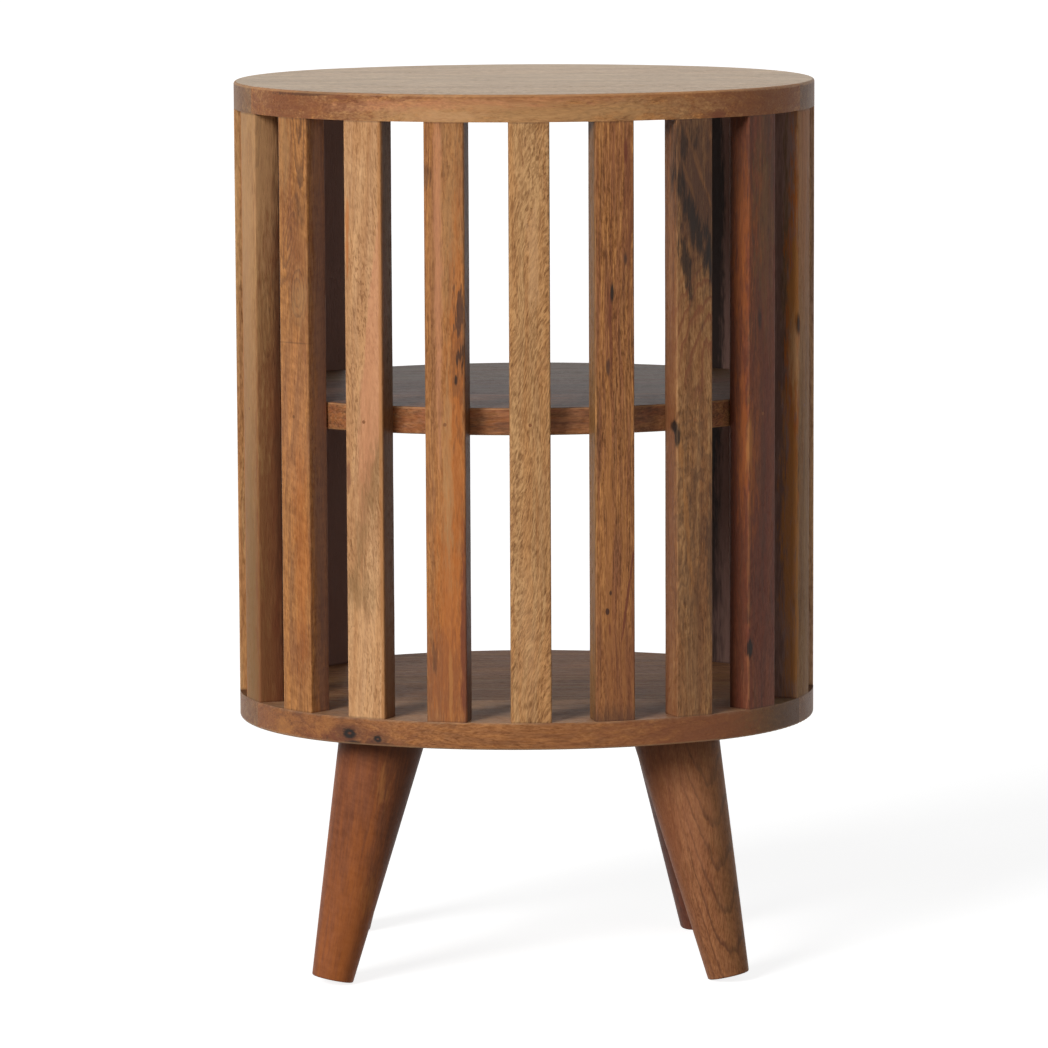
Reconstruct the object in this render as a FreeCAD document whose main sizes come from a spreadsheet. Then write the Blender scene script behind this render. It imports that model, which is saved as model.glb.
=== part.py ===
"""An oval end table of solid wood: a top and a base joined by a ring of upright slats that stays
open at the back, a shelf half way up, and four round tapered legs that splay outwards.

Millimetres, +Z up, +Y towards the open back.  The origin is on the floor, under the middle of
the top.  Every size is a cell of the sheet "sizes"; what follows from them is in "layout"."""

import FreeCAD, Part
import math
import os

import Sketcher

ORIGIN = -1  # sketch geometry that holds the origin point, and lies along X
UPRIGHT = -2  # sketch geometry that lies along Y
START, END, CENTRE = 1, 2, 3  # points of a sketched arc or line
UPWARDS = FreeCAD.Vector(0, 0, 1)
QUARTER = math.pi / 2
ROUND_OFF = 1e-6

SIZES = (
    ("table_width", 400, "top and base, along X"),
    ("table_depth", 310, "top and base, along Y"),
    ("side_bow", 15, "how much less than half the depth the round ends' radius is"),
    ("top_thickness", 18.5, "top"),
    ("base_thickness", 18.5, "base"),
    ("shelf_thickness", 18.5, "shelf"),
    ("rim_round", 2, "eased upper edge of the top and lower edge of the base"),
    ("shelf_round", 1.5, "eased edges of the shelf"),
    ("front_joint", 60, "glue line in front of the middle, in the top and the base"),
    ("back_joint", 45, "glue line behind the middle, in the top and the base"),
    ("shelf_front_joint", 55, "glue line in front of the middle, in the shelf"),
    ("shelf_back_joint", 30, "glue line behind the middle, in the shelf"),
    ("saw_margin", 10, "board stock that is sawn away outside the oval"),
    ("slat_count", 15, "upright slats, spread evenly to both sides of the front's middle"),
    ("slat_pitch", 57.5, "from slat to slat, along the rim"),
    ("end_slat_shift", 6, "how much further round the rim the last slat on each side stands"),
    ("slat_length", 405, "from the base to the top"),
    ("slat_width", 27.5, "across the outer face"),
    ("slat_thickness", 18.5, "from the rim inwards"),
    ("slat_round", 1, "eased long edges of a slat"),
    ("shelf_height", 193, "from the base up to the underside of the shelf"),
    ("shelf_clearance", 0.2, "glue room between the shelf's rim and the slats"),
    ("dowel_diameter", 8, "wooden dowels in the slats' ends"),
    ("dowel_length", 36, "wooden dowels in the slats' ends"),
    ("dowel_in_board", 12, "part of a dowel that is in the top or the base"),
    ("dowel_chamfer", 0.8, "broken edges of a dowel"),
    ("bore_clearance", 0.05, "glue room round a dowel, insert or screw"),
    ("bore_end_gap", 1, "room left at the bottom of a bore"),
    ("brad_length", 32, "steel brads from the slats into the shelf"),
    ("brad_diameter", 1.6, "brad shank"),
    ("brad_point", 2.5, "tapered tip of a brad"),
    ("brad_head_diameter", 2.4, "brad head, and the filler over it"),
    ("brad_head_height", 1, "brad head"),
    ("brad_set", 1.5, "how far a brad's head is driven below the slat's face"),
    ("leg_height", 173, "from the floor to the underside of the base"),
    ("leg_top_diameter", 60, "leg, at the base"),
    ("leg_foot_diameter", 29, "leg, at the floor"),
    ("foot_round", 1.5, "eased edge of a foot"),
    ("leg_inset_x", 100, "middle of a leg's top from the end of the base, along X"),
    ("leg_inset_y", 85, "middle of a leg's top from the side of the base, along Y"),
    ("front_splay", 37, "how far a front leg leans out along X"),
    ("back_splay", 26, "how far a back leg leans out along X"),
    ("depth_splay", 20, "how far each leg leans out along Y"),
    ("bolt_diameter", 8, "hanger bolt, the end in the base"),
    ("bolt_in_base", 12, "hanger bolt, the end in the base"),
    ("screw_diameter", 7, "hanger bolt, the end in the leg"),
    ("screw_length", 38, "hanger bolt, the end in the leg"),
    ("screw_point", 6, "tapered tip of a hanger bolt"),
    ("insert_diameter", 12, "threaded insert in the base"),
    ("insert_length", 13, "threaded insert in the base"),
)

# Expressions, in the order in which they build on each other.  Angles are in degrees.
LAYOUT = (
    ("half_width", "sizes.table_width / 2"),
    ("half_depth", "sizes.table_depth / 2"),
    ("end_radius", "half_depth - sizes.side_bow"),
    ("end_centre", "half_width - end_radius"),
    ("side_radius", "(end_centre^2 + half_depth^2 - end_radius^2) / (2 * sizes.side_bow)"),
    ("side_centre", "side_radius - half_depth"),
    ("side_angle", "atan(end_centre / side_centre) / 1 deg"),
    ("side_arc", "side_radius * side_angle * pi / 180"),
    ("end_arc", "end_radius * (90 - side_angle) * pi / 90"),
    ("base_top", "sizes.leg_height + sizes.base_thickness"),
    ("shelf_under", "base_top + sizes.shelf_height"),
    ("top_under", "base_top + sizes.slat_length"),
    ("shelf_inset", "sizes.slat_thickness + sizes.shelf_clearance"),
    ("dowel_radius", "sizes.dowel_diameter / 2"),
    ("bore_radius", "dowel_radius + sizes.bore_clearance"),
    ("bore_length", "sizes.dowel_length + 2 * sizes.bore_end_gap"),
    ("dowel_in_slat", "sizes.dowel_length - sizes.dowel_in_board"),
    ("brad_height", "sizes.shelf_height + sizes.shelf_thickness / 2"),
    ("brad_radius", "sizes.brad_diameter / 2"),
    ("brad_head_radius", "sizes.brad_head_diameter / 2"),
    ("leg_top_x", "half_width - sizes.leg_inset_x"),
    ("leg_top_y", "half_depth - sizes.leg_inset_y"),
    ("leg_top_radius", "sizes.leg_top_diameter / 2"),
    ("leg_foot_radius", "sizes.leg_foot_diameter / 2"),
    ("bolt_radius", "sizes.bolt_diameter / 2"),
    ("screw_radius", "sizes.screw_diameter / 2"),
    ("insert_radius", "sizes.insert_diameter / 2"),
)

doc = FreeCAD.newDocument("oval_end_table")
sizes = doc.addObject("Spreadsheet::Sheet", "sizes")
layout = doc.addObject("App::VarSet", "layout")


def fill_sizes():
    """Write the driving sizes into the sheet: name, number and meaning, one row each."""
    for row, (alias, number, meaning) in enumerate(SIZES, 1):
        sizes.set(f"A{row}", alias)
        sizes.set(f"B{row}", str(number))
        sizes.set(f"C{row}", meaning)
        sizes.setAlias(f"B{row}", alias)
    doc.recompute()


def fill_layout():
    """Work out the lengths and angles that follow from the driving sizes."""
    for name, expression in LAYOUT:
        layout.addProperty("App::PropertyFloat", name, "Layout", "")
        layout.setExpression(name, expression)
        doc.recompute()


def value(expression):
    """The number that an expression gives now."""
    return float(layout.evalExpression(expression))


# --- placing and sketching ---------------------------------------------------------------------


def place(piece, x="0", y="0", z="0", axis="0; 0; 1", turn="0", on=None):
    """Bind a piece's placement to expressions, counted from another piece's where on names one."""
    spot = f"placement(vector({x}; {y}; {z}); rotation(vector({axis}); {turn}))"
    piece.setExpression("Placement", f"{on}.Placement * {spot}" if on else spot)
    return piece


def new_sketch(body, name, role):
    """A sketch on one of the body's own origin planes."""
    sketch = body.newObject("Sketcher::SketchObject", name)
    plane = next(p for p in body.Origin.OriginFeatures if p.Role == role)
    sketch.AttachmentSupport = [(plane, "")]
    sketch.MapMode = "FlatFace"
    return sketch


def bind(sketch, expression, kind, *places):
    """Add a dimension whose value is an expression."""
    number = value(expression)
    index = sketch.addConstraint(Sketcher.Constraint(kind, *places, number))
    sketch.setExpression(f"Constraints[{index}]", expression)


def bind_point(sketch, line, end, x, y):
    """Tie one point of a sketch to the expressions for its coordinates."""
    for kind, axis, expression in (("DistanceX", UPRIGHT, x), ("DistanceY", ORIGIN, y)):
        number = value(expression)
        if abs(number) < ROUND_OFF:
            sketch.addConstraint(Sketcher.Constraint("PointOnObject", line, end, axis))
        elif number > 0:
            bind(sketch, expression, kind, ORIGIN, START, line, end)
        else:
            bind(sketch, f"-({expression})", kind, line, end, ORIGIN, START)


def sketch_outline(sketch, corners):
    """A closed outline of straight lines through corners that are pairs of expressions."""
    points = [FreeCAD.Vector(value(x), value(y), 0) for x, y in corners]
    count = len(points)
    for i in range(count):
        sketch.addGeometry(Part.LineSegment(points[i], points[(i + 1) % count]))
    for i in range(count):
        joined = Sketcher.Constraint("Coincident", i, END, (i + 1) % count, START)
        sketch.addConstraint(joined)
    for i, (x, y) in enumerate(corners):
        bind_point(sketch, i, START, x, y)


def sketch_oval(sketch, inset):
    """The table's outline, moved inwards: two flat side arcs and two round end arcs, tangent."""
    side, end = value(f"layout.side_radius - {inset}"), value(f"layout.end_radius - {inset}")
    side_y, end_x = layout.side_centre, layout.end_centre
    lean = math.radians(layout.side_angle)
    arcs = (
        ((0, side_y), side, -QUARTER - lean, -QUARTER + lean),
        ((end_x, 0), end, -QUARTER + lean, QUARTER - lean),
        ((0, -side_y), side, QUARTER - lean, QUARTER + lean),
        ((-end_x, 0), end, QUARTER + lean, 3 * QUARTER - lean),
    )
    for (x, y), radius, first, last in arcs:
        circle = Part.Circle(FreeCAD.Vector(x, y, 0), UPWARDS, radius)
        sketch.addGeometry(Part.ArcOfCircle(circle, first, last))
    front, right, back, left = range(4)
    for arc, after in ((front, right), (right, back), (back, left), (left, front)):
        sketch.addConstraint(Sketcher.Constraint("Tangent", arc, END, after, START))
    bind_point(sketch, right, CENTRE, "layout.end_centre", "0")
    bind_point(sketch, left, CENTRE, "-layout.end_centre", "0")
    bind(sketch, f"layout.end_radius - {inset}", "Radius", right)
    bind(sketch, f"layout.side_radius - {inset}", "Radius", front)
    sketch.addConstraint(Sketcher.Constraint("Equal", right, left))
    sketch.addConstraint(Sketcher.Constraint("Equal", front, back))


def pad(body, sketch, length):
    """Raise a sketch into a solid along +Z."""
    feature = body.newObject("PartDesign::Pad", f"{body.Name}_pad")
    feature.Profile = sketch
    feature.setExpression("Length", length)
    doc.recompute()
    return feature


def ease(body, feature, radius, chosen, kind="Fillet", size="Radius"):
    """Round, or chamfer, those edges of a feature that the test chosen picks."""
    names = [f"Edge{i}" for i, edge in enumerate(feature.Shape.Edges, 1) if chosen(edge)]
    eased = body.newObject(f"PartDesign::{kind}", f"{body.Name}_{kind.lower()}")
    eased.Base = (feature, names)
    eased.setExpression(size, radius)
    doc.recompute()
    return eased


def level_edges(*heights):
    """A test for edges that lie level at one of these heights."""

    def chosen(edge):
        box = edge.BoundBox
        return any(max(abs(box.ZMin - z), abs(box.ZMax - z)) < ROUND_OFF for z in heights)

    return chosen


def upright_edges(edge):
    """A test for straight edges that stand upright."""
    box = edge.BoundBox
    return box.ZLength > ROUND_OFF and max(box.XLength, box.YLength) < ROUND_OFF


def spin(body, sketch):
    """Turn a half section once round its own upright axis."""
    feature = body.newObject("PartDesign::Revolution", f"{body.Name}_turning")
    feature.Profile = sketch
    feature.ReferenceAxis = (sketch, ["V_Axis"])
    feature.Angle = 360
    doc.recompute()


def turned(name, outline):
    """A round solid about Z from a half section whose corners are (radius, height)."""
    body = doc.addObject("PartDesign::Body", name)
    sketch = new_sketch(body, f"{name}_section", "XZ_Plane")
    sketch_outline(sketch, outline)
    spin(body, sketch)
    return body


def rod(name, radius, length):
    """A plain cylinder that stands on its own origin."""
    cylinder = doc.addObject("Part::Cylinder", name)
    cylinder.setExpression("Radius", radius)
    cylinder.setExpression("Height", length)
    return cylinder


def copy_of(piece, name, **spot):
    """One more of a piece, at a place of its own."""
    link = doc.addObject("App::Link", name)
    link.LinkedObject = piece
    return place(link, **spot)


def group(name, pieces):
    """Separate solids that are kept as one object."""
    compound = doc.addObject("Part::Compound", name)
    compound.Links = pieces
    return compound


def cut(name, piece, tool):
    """A piece with the room of a tool taken out of it."""
    result = doc.addObject("Part::Cut", name)
    result.Base = piece
    result.Tool = tool
    return result


# --- the slats and what holds them -------------------------------------------------------------


def add_numbers(name, numbers):
    """A set of numbers of a piece's own, each one bound to its expression."""
    holder = doc.addObject("App::VarSet", name)
    for label, expression in numbers:
        holder.addProperty("App::PropertyFloat", label, "Own", "")
        holder.setExpression(label, expression)
        doc.recompute()
    return holder


def rim_place(name, number, further):
    """A slat's place on the rim: the arc it stands on, and how far round that arc it is."""
    side = "1" if number >= 0 else "-1"
    along = f"({abs(number)} * sizes.slat_pitch + {further})"
    past_side = f"({along} - layout.side_arc)"
    past_end = f"({past_side} - layout.end_arc)"
    turn_front = f"{along} / layout.side_radius * 180 / pi"
    turn_end = f"layout.side_angle + {past_side} / layout.end_radius * 180 / pi"
    turn_back = f"180 - layout.side_angle + {past_end} / layout.side_radius * 180 / pi"
    zones = (
        ("radius", "layout.side_radius", "layout.end_radius", "layout.side_radius"),
        ("centre_x", "0", f"{side} * layout.end_centre", "0"),
        ("centre_y", "layout.side_centre", "0", "-layout.side_centre"),
        ("turn", *(f"{side} * ({turn})" for turn in (turn_front, turn_end, turn_back))),
    )
    numbers = [
        (label, f"{past_side} < 0 ? ({front}) : ({past_end} < 0 ? ({end}) : ({back}))")
        for label, front, end, back in zones
    ]
    return add_numbers(f"{name}_rim", numbers)


def slat_blank(name, number, further):
    """A slat before it is bored.  Its own Y runs inwards from the rim, its own Z up."""
    rim = rim_place(name, number, further)
    own = rim.Name
    body = doc.addObject("PartDesign::Body", f"{name}_blank")
    sketch = new_sketch(body, f"{name}_section", "XY_Plane")
    half, depth = value("sizes.slat_width / 2"), value("sizes.slat_thickness")
    edge = rim.radius - math.sqrt(rim.radius**2 - half**2)
    corners = ((half, edge), (half, depth), (-half, depth), (-half, edge))
    points = [FreeCAD.Vector(x, y, 0) for x, y in corners]
    for first, last in zip(points, points[1:]):
        sketch.addGeometry(Part.LineSegment(first, last))
    sketch.addGeometry(Part.Arc(points[-1], FreeCAD.Vector(0, 0, 0), points[0]))
    right, back, left, outer = range(4)
    for line, point, after, other in (
        (right, END, back, START),
        (back, END, left, START),
        (left, END, outer, START),
        (outer, END, right, START),
    ):
        sketch.addConstraint(Sketcher.Constraint("Coincident", line, point, after, other))
    for line in (right, left):
        sketch.addConstraint(Sketcher.Constraint("Vertical", line))
    sketch.addConstraint(Sketcher.Constraint("Symmetric", back, START, back, END, UPRIGHT))
    sketch.addConstraint(Sketcher.Constraint("PointOnObject", outer, CENTRE, UPRIGHT))
    bind(sketch, "sizes.slat_width", "DistanceX", back, END, back, START)
    bind(sketch, "sizes.slat_thickness", "DistanceY", ORIGIN, START, back, END)
    bind(sketch, f"{own}.radius", "Radius", outer)
    bind(sketch, f"{own}.radius", "DistanceY", ORIGIN, START, outer, CENTRE)
    raised = pad(body, sketch, "sizes.slat_length")
    ease(body, raised, "sizes.slat_round", upright_edges)
    return place(
        body,
        x=f"{own}.centre_x + {own}.radius * sin({own}.turn)",
        y=f"{own}.centre_y - {own}.radius * cos({own}.turn)",
        z="layout.base_top",
        turn=f"{own}.turn",
    )


def make_dowel():
    """A short wooden dowel with broken edges, standing on its origin."""
    body = doc.addObject("PartDesign::Body", "dowel")
    sketch = new_sketch(body, "dowel_section", "XY_Plane")
    sketch.addGeometry(Part.Circle(FreeCAD.Vector(0, 0, 0), UPWARDS, layout.dowel_radius))
    sketch.addConstraint(Sketcher.Constraint("Coincident", 0, CENTRE, ORIGIN, START))
    bind(sketch, "layout.dowel_radius", "Radius", 0)
    raised = pad(body, sketch, "sizes.dowel_length")
    ends = level_edges(0, value("sizes.dowel_length"))
    ease(body, raised, "sizes.dowel_chamfer", ends, kind="Chamfer", size="Size")
    return body


def make_brad():
    """A brad that points along +Z, with the filler's room below it: its head is at brad_set."""
    tip = "sizes.brad_set + sizes.brad_length"
    shoulder = "sizes.brad_set + sizes.brad_head_height"
    return turned(
        "brad",
        (
            ("0", "sizes.brad_set"),
            ("layout.brad_head_radius", "sizes.brad_set"),
            ("layout.brad_head_radius", shoulder),
            ("layout.brad_radius", shoulder),
            ("layout.brad_radius", f"{tip} - sizes.brad_point"),
            ("0", tip),
        ),
    )


def make_brad_bore():
    """The room that a brad and the filler over it take."""
    shoulder = "sizes.brad_set + sizes.brad_head_height"
    bottom = "sizes.brad_set + sizes.brad_length + sizes.bore_end_gap"
    outside = "-sizes.saw_margin"
    return turned(
        "brad_bore",
        (
            ("0", outside),
            ("layout.brad_head_radius", outside),
            ("layout.brad_head_radius", shoulder),
            ("layout.brad_radius", shoulder),
            ("layout.brad_radius", bottom),
            ("0", bottom),
        ),
    )


def add_slats():
    """All slats, bored at both ends and across at the shelf, with their dowels and brads."""
    dowel, brad = make_dowel(), make_brad()
    dowel_bore = rod("dowel_bore", "layout.bore_radius", "layout.bore_length")
    brad_bore = make_brad_bore()
    filler = rod("filler", "layout.brad_head_radius", "sizes.brad_set")
    middle = "sizes.slat_thickness / 2"
    seats = {
        "base": {"y": middle, "z": "-sizes.dowel_in_board"},
        "top": {"y": middle, "z": "sizes.slat_length - layout.dowel_in_slat"},
    }
    bores = {"base": [], "top": [], "shelf": []}
    fixings = {"base": [], "top": [], "brads": [], "fillers": []}
    slats = []
    count = int(value("sizes.slat_count"))
    last = (count - 1) / 2
    for index in range(count):
        name, number = f"slat_{index + 1:02d}", index - last
        further = "sizes.end_slat_shift" if abs(number) == last else "0"
        blank = slat_blank(name, number, further)
        own_bores = []
        for end, seat in seats.items():
            room = dict(seat, z=f"{seat['z']} - sizes.bore_end_gap")
            bore = copy_of(dowel_bore, f"{name}_{end}_bore", on=blank.Name, **room)
            bores[end].append(bore)
            own_bores.append(bore)
            peg = copy_of(dowel, f"{name}_{end}_dowel", on=blank.Name, **seat)
            fixings[end].append(peg)
        inwards = {"z": "layout.brad_height", "axis": "1; 0; 0", "turn": "-90"}
        bore = copy_of(brad_bore, f"{name}_brad_bore", on=blank.Name, **inwards)
        bores["shelf"].append(bore)
        own_bores.append(bore)
        fixings["brads"].append(copy_of(brad, f"{name}_brad", on=blank.Name, **inwards))
        dot = copy_of(filler, f"{name}_filler", on=blank.Name, **inwards)
        fixings["fillers"].append(dot)
        slats.append(cut(name, blank, group(f"{name}_bores", own_bores)))
    hardware = [
        group("slat_dowels_base", fixings["base"]),
        group("slat_dowels_top", fixings["top"]),
        group("shelf_brads", fixings["brads"]),
        group("brad_fillers", fixings["fillers"]),
    ]
    return slats, hardware, bores


# --- the three glued-up panels -----------------------------------------------------------------


def panel(name, thickness, under, inset, radius, eased_heights):
    """A whole oval panel, with its outer edges eased."""
    body = doc.addObject("PartDesign::Body", f"{name}_panel")
    sketch = new_sketch(body, f"{name}_outline", "XY_Plane")
    sketch_oval(sketch, inset)
    raised = pad(body, sketch, thickness)
    ease(body, raised, radius, level_edges(*(value(z) for z in eased_heights)))
    return place(body, z=under)


def board(name, whole, thickness, under, first, last):
    """One board of a panel, between two distances from the middle along Y."""
    stock = doc.addObject("Part::Box", f"{name}_stock")
    stock.setExpression("Length", "sizes.table_width + 2 * sizes.saw_margin")
    stock.setExpression("Width", f"({last}) - ({first})")
    stock.setExpression("Height", f"{thickness} + 2 * sizes.saw_margin")
    place(
        stock,
        x="-layout.half_width - sizes.saw_margin",
        y=first,
        z=f"{under} - sizes.saw_margin",
    )
    sawn = doc.addObject("Part::Common", name)
    sawn.Base = whole
    sawn.Tool = stock
    return sawn


def boards(name, whole, thickness, under, front_joint, back_joint):
    """The front, middle and back boards that a panel is glued up from."""
    edge = "layout.half_depth + sizes.saw_margin"
    lines = (f"-({edge})", f"-{front_joint}", back_joint, edge)
    places = zip(("front", "middle", "back"), lines, lines[1:])
    return [
        board(f"{name}_board_{where}", whole, thickness, under, first, last)
        for where, first, last in places
    ]


def add_top(bores):
    """The top: bored from below for the slats' dowels."""
    thickness, under = "sizes.top_thickness", "layout.top_under"
    whole = panel("top", thickness, under, "0", "sizes.rim_round", (thickness,))
    bored = cut("top_bored", whole, group("top_bores", bores))
    return boards("top", bored, thickness, under, "sizes.front_joint", "sizes.back_joint")


def add_base(bores, insert_bores):
    """The base: bored from above for the dowels and from below for the legs' inserts."""
    thickness, under = "sizes.base_thickness", "sizes.leg_height"
    whole = panel("base", thickness, under, "0", "sizes.rim_round", ("0",))
    bored = cut("base_bored", whole, group("base_bores", bores + insert_bores))
    return boards("base", bored, thickness, under, "sizes.front_joint", "sizes.back_joint")


def add_shelf(bores):
    """The shelf: it fills the inside of the ring of slats and takes a brad from each."""
    thickness, under = "sizes.shelf_thickness", "layout.shelf_under"
    inset, both = "layout.shelf_inset", ("0", thickness)
    whole = panel("shelf", thickness, under, inset, "sizes.shelf_round", both)
    bored = cut("shelf_bored", whole, group("shelf_bores", bores))
    joints = ("sizes.shelf_front_joint", "sizes.shelf_back_joint")
    return boards("shelf", bored, thickness, under, *joints)


# --- the legs ----------------------------------------------------------------------------------


def leg_axis(name, splay):
    """A leg's lean, its length along its axis, and the waste left above its top's middle."""
    reach = f"sqrt({splay}^2 + sizes.depth_splay^2)"
    lift = (
        f"(layout.leg_foot_radius - sizes.foot_round) * sin({name}.lean)"
        f" + sizes.foot_round * (1 - cos({name}.lean))"
    )
    flare = f"(layout.leg_top_radius - layout.leg_foot_radius) / {name}.length"
    return add_numbers(
        name,
        (
            ("lean", f"atan({reach} / sizes.leg_height) / 1 deg"),
            ("length", f"(sizes.leg_height - ({lift})) / cos({name}.lean)"),
            ("waste", f"sizes.leg_top_diameter * tan({name}.lean)"),
            ("waste_radius", f"layout.leg_top_radius + {flare} * {name}.waste"),
        ),
    )


def leg_blank(name, splay):
    """A turned leg along its own Z, from its top's middle at 0 down to the foot."""
    axis = leg_axis(f"{name}_axis", splay)
    own = axis.Name
    body = doc.addObject("PartDesign::Body", f"{name}_blank")
    sketch = new_sketch(body, f"{name}_section", "XZ_Plane")
    rounding, radius = value("sizes.foot_round"), layout.leg_foot_radius
    foot, top = -axis.length, axis.waste
    eye = FreeCAD.Vector(radius - rounding, foot + rounding, 0)
    lines = (
        ((0, top), (axis.waste_radius, top)),
        ((axis.waste_radius, top), (radius, foot + rounding)),
        ((radius - rounding, foot), (0, foot)),
        ((0, foot), (0, top)),
    )
    for first, last in lines:
        sketch.addGeometry(Part.LineSegment(FreeCAD.Vector(*first), FreeCAD.Vector(*last)))
    sketch.addGeometry(Part.ArcOfCircle(Part.Circle(eye, UPWARDS, rounding), -QUARTER, 0))
    across, side, sole, middle, rounded = range(5)
    for line, point, after, other in (
        (across, END, side, START),
        (side, END, rounded, END),
        (rounded, START, sole, START),
        (sole, END, middle, START),
        (middle, END, across, START),
    ):
        sketch.addConstraint(Sketcher.Constraint("Coincident", line, point, after, other))
    bind_point(sketch, across, START, "0", f"{own}.waste")
    bind_point(sketch, across, END, f"{own}.waste_radius", f"{own}.waste")
    bind_point(sketch, middle, START, "0", f"-{own}.length")
    eye_height = f"sizes.foot_round - {own}.length"
    bind_point(sketch, rounded, CENTRE, "layout.leg_foot_radius - sizes.foot_round", eye_height)
    bind(sketch, "sizes.foot_round", "Radius", rounded)
    for kind, point in (("Vertical", START), ("Horizontal", END)):
        sketch.addConstraint(Sketcher.Constraint(kind, rounded, CENTRE, rounded, point))
    spin(body, sketch)
    return body


def make_hanger_bolt():
    """A steel hanger bolt: machine thread above its origin, wood screw and point below."""
    point = "-(sizes.screw_length - sizes.screw_point)"
    return turned(
        "hanger_bolt",
        (
            ("0", "sizes.bolt_in_base"),
            ("layout.bolt_radius", "sizes.bolt_in_base"),
            ("layout.bolt_radius", "0"),
            ("layout.screw_radius", "0"),
            ("layout.screw_radius", point),
            ("0", "-sizes.screw_length"),
        ),
    )


def make_insert():
    """A threaded insert for the bolt: a plain sleeve that stands on its origin."""
    inner = "layout.bolt_radius + sizes.bore_clearance"
    return turned(
        "threaded_insert",
        (
            (inner, "0"),
            ("layout.insert_radius", "0"),
            ("layout.insert_radius", "sizes.insert_length"),
            (inner, "sizes.insert_length"),
        ),
    )


def add_legs():
    """Four legs sawn level under the base, each on a hanger bolt and an insert."""
    bolt, insert = make_hanger_bolt(), make_insert()
    clearance, gap = "sizes.bore_clearance", "sizes.bore_end_gap"
    insert_bore = rod(
        "insert_bore", f"layout.insert_radius + {clearance}", f"sizes.insert_length + {gap}"
    )
    screw_bore = rod(
        "screw_bore", f"layout.screw_radius + {clearance}", f"sizes.screw_length + {gap}"
    )
    waste = doc.addObject("Part::Box", "leg_waste")
    waste.setExpression("Length", "2 * sizes.table_width")
    waste.setExpression("Width", "2 * sizes.table_width")
    waste.setExpression("Height", "sizes.table_width")
    place(waste, x="-sizes.table_width", y="-sizes.table_width", z="sizes.leg_height")
    legs, bolts, inserts, insert_bores = [], [], [], []
    for row, y_side, splay in (
        ("front", "-1", "sizes.front_splay"),
        ("back", "1", "sizes.back_splay"),
    ):
        for hand, x_side in (("left", "-1"), ("right", "1")):
            name = f"leg_{row}_{hand}"
            spot = {
                "x": f"{x_side} * layout.leg_top_x",
                "y": f"{y_side} * layout.leg_top_y",
                "z": "sizes.leg_height",
            }
            blank = leg_blank(name, splay)
            hinge = f"{y_side} * sizes.depth_splay; -1 * {x_side} * {splay}; 0"
            place(blank, axis=hinge, turn=f"{name}_axis.lean", **spot)
            under = dict(spot, z=f"{spot['z']} - sizes.screw_length - {gap}")
            own_bore = copy_of(screw_bore, f"{name}_bore", **under)
            removed = group(f"{name}_removed", [waste, own_bore])
            legs.append(cut(name, blank, removed))
            bolts.append(copy_of(bolt, f"{name}_bolt", **spot))
            inserts.append(copy_of(insert, f"{name}_insert", **spot))
            insert_bores.append(copy_of(insert_bore, f"{name}_insert_bore", **spot))
    return legs, [group("leg_hanger_bolts", bolts), group("leg_inserts", inserts)], insert_bores


# --- checking and writing ----------------------------------------------------------------------


def check(kept):
    """Stop if any object failed, or a kept piece is not the valid solids it should be."""
    for item in doc.Objects:
        if {"Invalid", "Error"} & set(item.State):
            raise RuntimeError(f"{item.Name} failed: {item.State}")
    for piece, count in kept:
        shape = piece.Shape
        if shape.isNull() or not shape.isValid():
            raise RuntimeError(f"{piece.Label} has no valid shape")
        if len(shape.Solids) != count:
            raise RuntimeError(f"{piece.Label} has {len(shape.Solids)} solids, not {count}")


def write(kept):
    """Write each kept piece to a STEP file of its own."""
    os.makedirs("parts", exist_ok=True)
    for piece, _ in kept:
        solids = piece.Shape.Solids
        shape = solids[0] if len(solids) == 1 else Part.makeCompound(solids)
        shape.exportStep(f"parts/{piece.Label}.step")
        print(f"{piece.Label}: {len(solids)} solids, {shape.Volume / 1000:.2f} cm3")


def main():
    """Build the table and write its pieces."""
    fill_sizes()
    fill_layout()
    slats, slat_hardware, bores = add_slats()
    legs, leg_hardware, insert_bores = add_legs()
    panels = add_top(bores["top"])
    panels += add_base(bores["base"], insert_bores)
    panels += add_shelf(bores["shelf"])
    doc.recompute()
    kept = [(piece, 1) for piece in panels + slats + legs]
    kept += [(piece, len(slats)) for piece in slat_hardware]
    kept += [(piece, len(legs)) for piece in leg_hardware]
    check(kept)
    write(kept)


main()
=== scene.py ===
"""An oval end table: its wood, its slats made by Geometry Nodes, and a plain pale studio round it."""

import math
from typing import NamedTuple

import bpy
from mathutils import Euler, Matrix, Vector


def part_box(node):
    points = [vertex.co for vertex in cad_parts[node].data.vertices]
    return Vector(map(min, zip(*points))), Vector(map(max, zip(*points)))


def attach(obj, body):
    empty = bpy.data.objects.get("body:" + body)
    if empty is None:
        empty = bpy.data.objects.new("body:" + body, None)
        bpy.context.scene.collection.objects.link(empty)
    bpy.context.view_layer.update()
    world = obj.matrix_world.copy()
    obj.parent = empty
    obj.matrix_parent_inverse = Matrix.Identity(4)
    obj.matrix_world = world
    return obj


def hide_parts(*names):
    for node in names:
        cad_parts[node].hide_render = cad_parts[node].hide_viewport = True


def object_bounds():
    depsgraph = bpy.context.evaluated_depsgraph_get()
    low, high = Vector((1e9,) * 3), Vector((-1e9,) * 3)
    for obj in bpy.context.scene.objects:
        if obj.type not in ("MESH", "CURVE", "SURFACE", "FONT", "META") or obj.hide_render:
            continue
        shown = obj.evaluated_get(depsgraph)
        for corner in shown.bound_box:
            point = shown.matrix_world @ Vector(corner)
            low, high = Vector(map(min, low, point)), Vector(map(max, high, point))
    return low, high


bl_info = {
    "name": "Slatted end table",
    "version": (1, 0, 0),
    "blender": (4, 5, 0),
    "location": "View3D > Sidebar > End Table",
    "description": "Wood, slats, joinery and a studio for an oval end table with a shelf",
    "category": "Object",
}

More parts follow.
